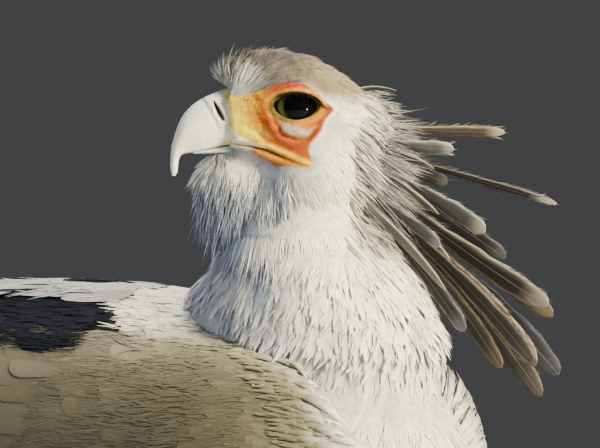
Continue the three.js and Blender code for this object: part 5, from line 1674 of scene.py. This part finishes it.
for sd, tag in ((1, "L"), (-1, "R")):
    coat = Coat()
    u = QUILL.s[None]
    dist = 300 + 430 * u
    x = sd * (16.4 - 0.6 * u)
    wide = np.interp(u, [0, 0.14, 0.3, 0.55, 0.8, 0.93, 0.975, 1], [6, 10, 13, 15, 14.6, 12, 8, 1.2])
    sag = -46 * np.clip((dist - 360) / 372, 0, 1) ** 2 + 1.5
    co = tail_point(dist, x + wide * QUILL.t[None], sag + 0.45 * QUILL.h[None] - 1.2 * QUILL.t[None] ** 2)
    sn = unit(TAIL_UP * np.sign(QUILL.h)[:, None] + np.array([0.3, 0, 0]) * QUILL.t[:, None])[None]
    col = tail_colour(QUILL.s, srgb(146, 144, 142), 0.86, 0.05)
    coat.add(QUILL, co, np.array([[0.5, 0.5]]), col[None], normals=sn, patch=0.9)
    coat.build("streamer_" + tag, tail_mat, "tail_plumage", ("tail_streamer_" + tag,))


# ------------------------------------------------------------------ crest
CREST = [  # root back and above the head's middle, reach, fall, width, swing, bow of the middle
    (29, 10, 13, 4, 4.5, 8, 0), (31, -5.3, 73, 2.4, 6.5, -4, 0.5), (29, -9.5, 43.5, 3.8, 8.5, 18, -1), (29, -15.5, 102, 30, 5, 3, 0.5),
    (28, -18, 47, 20, 8, -22, 1), (29, -23.5, 61, 35, 11.5, 14, 1.5), (29, -27, 78, 52, 10, -14, 1), (28, -30, 100, 73, 13.5, -3, -2),
    (27, -38, 37, 26, 9, 30, 1), (28, -33, 108, 81, 12, -18, 1), (27, -38, 80, 76, 11, 8, 2), (27, -40, 88, 88, 12, 17, 4),
    (27, -41, 96, 97, 13, -8, 6), (27, -43, 116, 108, 14, -26, 5), (27, -43, 74, 92, 10, 4, 4), (27, -45, 51, 66, 11, 22, 2),
    (27, -40, 102, 118, 12, -16, 5)]
crest_mat = plumage_look("crest_feathers", barbs=120, slant=26, depth=0.5, rough=0.7, sheen=0.05, shaft=0.022, shaft_colour=tuple(srgb(96, 88, 78)), contrast=0.4)


def plume(row, tpl, thick=0.45, twist=24.0, shrink=1.0, kind="crest"):
    back, high, reach, fall, width, swing, bow = row
    a = rad(swing)
    away = -FLAT * math.cos(a) + E2 * math.sin(a)
    run = reach / math.cos(a)
    length = math.hypot(run, fall)
    up = np.array([0, 0, 1.0])
    d = away * run / length - up * fall / length
    under = -away * fall / length - up * run / length
    c, s = math.cos(rad(twist)), math.sin(rad(twist))
    across = under * c + np.cross(d, under) * s
    thin = np.cross(d, across)
    root = HEAD_AT - FLAT * back + E2 * 0.55 * swing + up * high
    u = tpl.s * (1 + 12 / length) - 12 / length
    line = root + d * (u * length * shrink)[:, None] - under * (bow * 4 * u * (1 - u))[:, None]
    w = width / 2 * outline(kind, tpl.s) * (1 + 0.06 * np.sin(tpl.s * 31 + back * high) + 0.05 * np.sin(tpl.s * 57 + 5 * tpl.t + high))
    co = line + across * (w * tpl.t)[:, None] + thin * (thick * tpl.h * np.minimum(1, outline(kind, tpl.s) * 1.6) + 0.06 * w * tpl.t ** 2)[:, None]
    sn = unit(thin * np.sign(tpl.h)[:, None] + across * (0.3 * tpl.t)[:, None])
    return co[None], sn[None]


coat = Coat()
r = np.random.default_rng(95)
TONES = [srgb(*c) for c in (  # blade, upper edge, tip, base
    (205, 198, 182), (225, 220, 205), (225, 220, 205), (200, 192, 178), (132, 108, 72), (196, 176, 134), (206, 188, 150), (66, 58, 46),
    (196, 192, 184), (226, 220, 204), (216, 208, 188), (206, 200, 192), (34, 36, 42), (150, 140, 124), (200, 184, 166), (66, 64, 64),
    (58, 60, 70), (86, 86, 96), (84, 78, 66), (116, 114, 120), (132, 136, 156), (178, 174, 172), (200, 190, 164), (184, 180, 184),
    (50, 52, 60), (110, 108, 108), (80, 78, 76), (128, 124, 126), (38, 40, 48), (186, 174, 156), (150, 140, 122), (116, 112, 112),
    (166, 162, 168), (198, 192, 190), (170, 164, 162), (202, 196, 194), (50, 48, 50), (140, 128, 108), (112, 96, 66), (108, 104, 104),
    (98, 88, 56), (146, 134, 98), (88, 80, 62), (150, 142, 118), (74, 68, 62), (140, 128, 110), (84, 78, 68), (136, 130, 120),
    (92, 78, 58), (184, 170, 144), (92, 82, 68), (146, 136, 112), (42, 48, 62), (110, 112, 120), (60, 62, 70), (92, 90, 92),
    (74, 66, 48), (120, 108, 84), (96, 84, 60), (126, 118, 98), (56, 60, 76), (140, 142, 156), (108, 108, 118), (118, 118, 128),
    (80, 72, 60), (132, 122, 104), (80, 76, 68), (128, 120, 106))]
for i, row in enumerate(CREST):
    co, sn = plume(row, QUILL)
    blade, rise, end, foot = TONES[4 * i:4 * i + 4]
    s, t = QUILL.s[:, None], QUILL.t[:, None]
    col = mix(foot, blade, step(0.10, 0.42, s + 0.06 * t))
    col = mix(col, blade * 0.72, step(0.2, 0.7, t) * step(0.4, 0.6, s) * step(0.98, 0.8, s))
    col = deepen(col, 0.55) * 0.32
    col = mix(col, end, step(0.86, 0.97, s))
    col = mix(col, rise, np.maximum(step(-0.58, -0.98, t) * step(0.1, 0.3, s), step(0.74, 1.0, t) * 0.6 * step(0.3, 0.6, s)))
    # streaks along the vane: painted highlight on the barbs and painted shade where they part; darker towards the foot
    # as painted shade
    streak = np.sin(t * 9 + i) * 0.5 + np.sin(s * 23 - np.abs(t) * 6 + 2.1 * i) * 0.5
    col = deepen(col, 0.85) * (0.52 + 0.12 * streak) * mix(1.0, 0.84, step(0.9, 0.2, s))
    coat.add(QUILL, co, np.array([[0.1 + 0.8 * (i % 4) / 3, 0.1 + 0.8 * (i // 4) / 4]]), col[None], normals=sn, patch=0.16)
    # loose barbs along the plume's foot and at its tip
    back, high, reach, fall, width, swing, bow = row
    n = 150
    u = np.concatenate([r.uniform(0.0, 0.34, 42), r.uniform(0.88, 0.96, 8), r.uniform(0.25, 0.93, 100)])
    at = lambda v, k: np.stack([np.interp(v, QUILL.s[k:252:12], co[0, k:252:12, j]) for j in range(3)], 1)
    mid, left, right = at(u, 3), at(u, 0), at(u, 6)
    along = unit(at(u + 0.02, 3) - at(u - 0.03, 3))
    side = r.uniform(-1, 1, n)
    side[50:] = np.sign(side[50:]) * r.uniform(0.82, 1.0, n - 50)
    start = mid + (right - left) * np.where(np.arange(n) < 50, 0.4, 0.46)[:, None] * side[:, None]
    out = unit(right - left)
    d = unit(along + out * (side * mix(0.42, 0.24, step(0.3, 0.8, u)))[:, None] + r.normal(0, 0.10, (n, 3)))
    nn = unit(np.cross(out, along))
    nn = unit(nn - d * (d * nn).sum(1, keepdims=True))
    size = np.where(u < 0.34, r.uniform(8, 16, n), r.uniform(3.5, 6.5, n))
    size[50:] = r.uniform(3.5, 7.0, n - 50)
    hc, hn = feathers(HAIR, start, nn, d, size, np.where(np.arange(n) < 42, 0.8, 0.42), r.normal(0.03, 0.05, n), 0.1, "hair", thick=0.15, sink=0.0, soften=0.1)
    tone = mix(mix(foot, srgb(190, 182, 170), np.full((n, 1), 0.4)) * 0.7, deepen(blade, 0.5) * 0.20, step(0.15, 0.45, u)[:, None])
    tone = mix(tone, rise * 0.46, ((side < -0.8) * 0.6 * step(0.1, 0.3, u))[:, None])
    tone = mix(tone, deepen(end, 0.75) * 0.5, step(0.86, 0.94, u)[:, None]) * (1 + 0.08 * r.normal(0, 1, n))[:, None]
    coat.add(HAIR, hc, np.tile([[0.1 + 0.8 * (i % 4) / 3, 0.1 + 0.8 * (i // 4) / 4]], (n, 1)), tone, normals=hn, rnd=r.random(n))
# short feathers between the plumes' feet
SHORT = [(29, 18, 14, 1, 3.0, 12, 0.5), (29, 15.5, 12, 2, 3.2, -10, 0), (28, 10, 19, 4, 3.4, -6, 0.5), (29, 7, 17, 3, 3.6, 14, 0),
         (28, -12, 34, 12, 5.5, 22, 1), (28, -24, 36, 24, 6, 26, 1), (27, -30, 46, 30, 6.5, -28, 1), (28, -35, 44, 40, 7, 10, 1),
         (27, -44, 40, 44, 7, 32, 1), (27, -45, 38, 60, 7, -10, 2)]
for i, row in enumerate(SHORT):
    co, sn = plume(row, VANE_FINE, thick=0.3, kind="lance" if i < 4 else "body")
    s, t = VANE_FINE.s[:, None], VANE_FINE.t[:, None]
    blade = mix(srgb(38, 40, 48), srgb(86, 82, 78), np.full((1, 1), (i * 0.37) % 1.0))
    col = mix(srgb(150, 144, 136), blade, step(0.1, 0.4, s))
    col = mix(col, srgb(176, 168, 152), np.maximum(step(0.86, 0.98, s) * 0.5, step(-0.5, -1.0, t) * step(0.1, 0.3, s)) * 0.8)
    coat.add(VANE_FINE, co, np.array([[0.05 + 0.075 * i, 0.97]]), col[None], normals=sn, patch=0.05)
# soft pale barbs that fan out with the plumes from the nape
n = 820
back, high, swing = r.uniform(24, 31, n), np.clip(r.normal(-22, 16, n), -50, 16), r.uniform(-30, 34, n)
slope = np.interp(high, [-50, -38, -20, 0, 16], [1.25, 0.9, 0.4, 0.05, 0.0]) + r.normal(0, 0.13, n)
a = np.radians(swing)
d = unit(-FLAT * np.cos(a)[:, None] + E2 * np.sin(a)[:, None] - np.array([0, 0, 1.0]) * slope[:, None])
root = HEAD_AT - FLAT * back[:, None] + E2 * (0.5 * swing)[:, None] + np.array([0, 0, 1.0]) * high[:, None]
up = E2 * np.sign(swing)[:, None] * 0.6 + np.array([0, 0, 1.0])
up = unit(up - d * (d * up).sum(1, keepdims=True))
size = r.uniform(17, 38, n) * mix(0.45, 1.0, step(16, -6, high))
co, sn = feathers(HAIR_LONG, root, up, d, size, r.uniform(0.35, 0.75, n), r.normal(0.0, 0.06, n), r.normal(0.15, 0.15, n), "hair", thick=0.14, soften=0.1)
tone = mix(srgb(214, 207, 196), srgb(128, 124, 128), r.random((n, 1)) ** 1.5)
coat.add(HAIR_LONG, co, np.stack([0.5 + swing / 80, 0.9 + high * 0.001], 1), tone[:, None] * mix(1.0, 0.72, HAIR_LONG.s)[None, :, None], normals=sn, rnd=r.random(n))
coat.build("crest_plumes", crest_mat, "black_plumage")


# ------------------------------------------------------------------ eyelashes
coat = Coat()
lash_mat = plumage_look("lashes", barbs=10, slant=2, depth=0.2, rough=0.5, sheen=0.0, contrast=0.2)
for side in (1, -1):
    n = 44
    s = np.linspace(0, 1, n)
    path = np.array([(24.6, 9.4), (21.5, 13.2), (16.5, 16.0), (11.0, 16.4), (6.0, 15.0), (1.2, 12.6), (-3.6, 10.6)])
    x = np.interp(s, np.linspace(0, 1, 7), path[:, 0])
    z = np.interp(s, np.linspace(0, 1, 7), path[:, 1])
    ray = np.stack([x - EYE_AT[0], 0 * x, z - EYE_AT[2]], 1)
    out = np.sqrt(np.maximum((EYE_R + 1.2) ** 2 - (ray ** 2).sum(1), 4)) + EYE_AT[1]
    root = from_head(np.stack([x, side * out, z], 1))
    rr = np.random.default_rng(97)
    d = np.stack([-0.15 - 0.55 * s + rr.normal(0, 0.08, n), side * np.ones(n) * 0.85, -0.10 + rr.normal(0, 0.08, n)], 1) @ HEAD_AXES
    d = unit(d)
    nn = unit(np.tile(np.array([[0, side * 0.2, 1.0]]) @ HEAD_AXES, (n, 1)))
    nn = unit(nn - d * (d * nn).sum(1, keepdims=True))
    co, sn = feathers(HAIR_LONG, root, nn, d, mix(5.0, 8.5, np.sin(s * 3)) * rr.uniform(0.85, 1.15, n), 0.55, 0.1, 0.6, "hair", thick=0.25, sink=0.2, soften=0.3)
    coat.add(HAIR_LONG, co, np.stack([0.1 + 0.4 * (side > 0) + 0.35 * s, 0.5 + 0 * s], 1), np.tile(srgb(18, 16, 17), (n, 1)), normals=sn, patch=0.02)
coat.build("lashes", lash_mat, "black_plumage")


# ------------------------------------------------------------------ scutes and claws
leg_mat = plumage_look("leg_scutes", barbs=8, slant=1, depth=0.3, rough=0.5, sheen=0.0, contrast=0.18)
coat = Coat()
for s in (1, -1):
    r = np.random.default_rng(110 + s)
    z = np.arange(44, 352, 8.2)
    for col_i, turn in enumerate((-78, -27, 27, 78)):
        zz = z + (4.1 if col_i % 2 else 0)
        a, b = shank_at(zz)
        c = shank_centre(zz, s)
        ang = rad(turn)
        root = c + np.stack([b * math.sin(ang), -a * math.cos(ang), 0 * zz], 1)
        nn = unit(np.stack([np.sin(ang) / b, -np.cos(ang) / a, 0 * zz], 1))
        d = unit(np.tile([0.0, 0.05, -1.0], (len(zz), 1)))
        d = unit(d - nn * (d * nn).sum(1, keepdims=True))
        big = 1.0 if abs(turn) < 40 else 0.8
        co, sn = feathers(VANE, root, nn, d, 10.5 * big, 9.4 * big, 0.03, 0.05, "covert", thick=0.4, camber=0.17, roll=0, sink=0.15, soften=0.2)
        tone = mix(srgb(226, 190, 172), srgb(236, 214, 200), step(80, 260, zz)[:, None]) * (1 + 0.05 * r.normal(0, 1, len(zz)))[:, None]
        coat.add(VANE, co, np.stack([np.full(len(zz), 0.5 + s * (0.1 + 0.09 * col_i)), np.interp(zz, [0, 360], [0.1, 0.95])], 1), tone[:, None] * mix(1.0, 0.82, VANE.s)[None, :, None], normals=sn, patch=0.02)
    for j, toe in enumerate(TOES):
        dirn, base, across = toe_axes(s, toe)
        length, rad_toe = toe[2], toe[3]
        u = np.linspace(0.12, 0.93, int(length / 4.6))
        rr = rad_toe * (1.12 - 0.34 * u) * (1 + 0.09 * np.cos(u * math.pi * 6))
        c = base + dirn * (2 + (length - 2) * u)[:, None]
        c[:, 2] = rr * 0.86 + 5 * (1 - u) ** 3 + rr
        nn = np.tile([0.0, 0, 1.0], (len(u), 1))
        co, sn = feathers(VANE, c, nn, np.tile(dirn, (len(u), 1)), 6.6, rr * 1.5, 0.03, 0.12, "covert", thick=0.35, camber=0.24, sink=0.25, soften=0.2)
        tone = srgb(214, 172, 152) * (1 + 0.05 * r.normal(0, 1, len(u)))[:, None]
        coat.add(VANE, co, np.stack([0.1 + 0.2 * j + 0.15 * u, np.full(len(u), 0.04 if s > 0 else 0.07)], 1), tone[:, None] * mix(1.0, 0.8, VANE.s)[None, :, None], normals=sn, patch=0.01)
coat.build("leg_scutes", leg_mat, "leg_skin")

claw_mat = horn_look("claw_horn", 0.4)
for s, tag in ((1, "L"), (-1, "R")):
    for toe in TOES:
        dirn, base, across = toe_axes(s, toe)
        length, rt, claw = toe[2], toe[3], toe[4]
        u = np.linspace(0, 1, 18)
        c = base + dirn * (length - 5 + (claw + 4) * np.sin(u * 1.25) / math.sin(1.25))[:, None]
        c[:, 2] = rt * 0.92 - (rt * 0.92 - 1.1) * u * u
        rr = np.maximum(0.35, rt * 0.56 * (1 - u) ** 0.8)
        a = np.linspace(0, 2 * math.pi, 16, endpoint=False)
        ring = c[:, None] + across * (0.8 * rr[:, None] * np.cos(a))[..., None] + np.array([0, 0, 1.0]) * (rr[:, None] * np.sin(a))[..., None]
        pts, quads, tris = lofted(ring)
        tone = np.tile(srgb(38, 34, 33), (len(pts), 1))
        ob = make("nail_%s_%s" % (tag, toe[0]), pts, quads, tris, {"OFBake": np.stack([np.clip(0.5 + (pts - base) @ across / 20, 0.01, 0.99), np.clip((pts - base) @ dirn / 100, 0.01, 0.99)], 1)}, {"col": tone})
        finish_piece(ob, claw_mat, ("claw_%s_%s" % (tag, toe[0]),))


# ------------------------------------------------------------------ floor and light
def floor_look():
    L = Look("floor", 0.75)
    tex = L.n("TexCoord")
    f = L.n("TexNoise", Scale=3.0, Detail=6.0)
    L.to(tex, f, 3)
    L.colour(L.ramp([(0.3, srgb(196, 194, 190)), (0.7, srgb(206, 204, 200))], f))
    return L.m


a = np.linspace(0, 2 * math.pi, 96, endpoint=False)
disc = np.concatenate([np.stack([r * np.cos(a), r * np.sin(a), np.full(96, z)], 1) for r, z in ((1900, -0.3), (1880, -0.3), (0.02, -0.3))])[None].reshape(3, 96, 3)
dp, dq, _ = lofted(disc, cap=False)
floor = make("floor", dp - ORIGIN + [0, 0, 0], dq)
floor.data.materials.append(floor_look())


def area_light(name, at, aim, size, power, colour):
    d = bpy.data.lights.new(name, "AREA")
    d.shape, d.size, d.size_y, d.energy, d.color = "ELLIPSE", size[0], size[1], power, colour
    o = bpy.data.objects.new(name, d)
    bpy.context.scene.collection.objects.link(o)
    o.location = Vector(place(at))
    o.rotation_euler = (Vector(place(aim)) - o.location).to_track_quat("-Z", "Y").to_euler()
    return o


HEAD_POINT = np.array([0, -80, 900.0])
key = HEAD_POINT + RIGHT * 1500 + NEAR * 1300 + np.array([0, 0, 880.0])
fill = HEAD_POINT - RIGHT * 1800 + NEAR * 1400 + np.array([0, 0, 900.0])
rim = HEAD_POINT + RIGHT * 300 - NEAR * 900 + np.array([0, 0, 2000.0])
for lamp in (area_light("key", key, HEAD_POINT, (0.7, 0.7), 214, (1.0, 0.925, 0.70)),
             area_light("fill", fill, HEAD_POINT, (2.6, 2.4), 33, (0.69, 0.82, 1.0)),
             area_light("rim", rim, HEAD_POINT, (1.8, 1.2), 116, (1.0, 0.95, 0.84))):
    lamp.visible_glossy = False
# a small low lamp that only gleams in the eye
gleam = HEAD_POINT + (RIGHT * 0.777 + NEAR * 0.524 - np.array([0, 0, 0.35])) * 1200
lamp = area_light("gleam", gleam, HEAD_POINT + [0, 0, 40], (0.10, 0.10), 16.0, (1.0, 0.93, 0.86))
lamp.visible_diffuse = False
w = bpy.data.worlds.new("world")
bpy.context.scene.world = w
w.use_nodes = True
w.node_tree.nodes["Background"].inputs["Color"].default_value = (0.06, 0.062, 0.064, 1)
w.node_tree.nodes["Background"].inputs["Strength"].default_value = 1.0
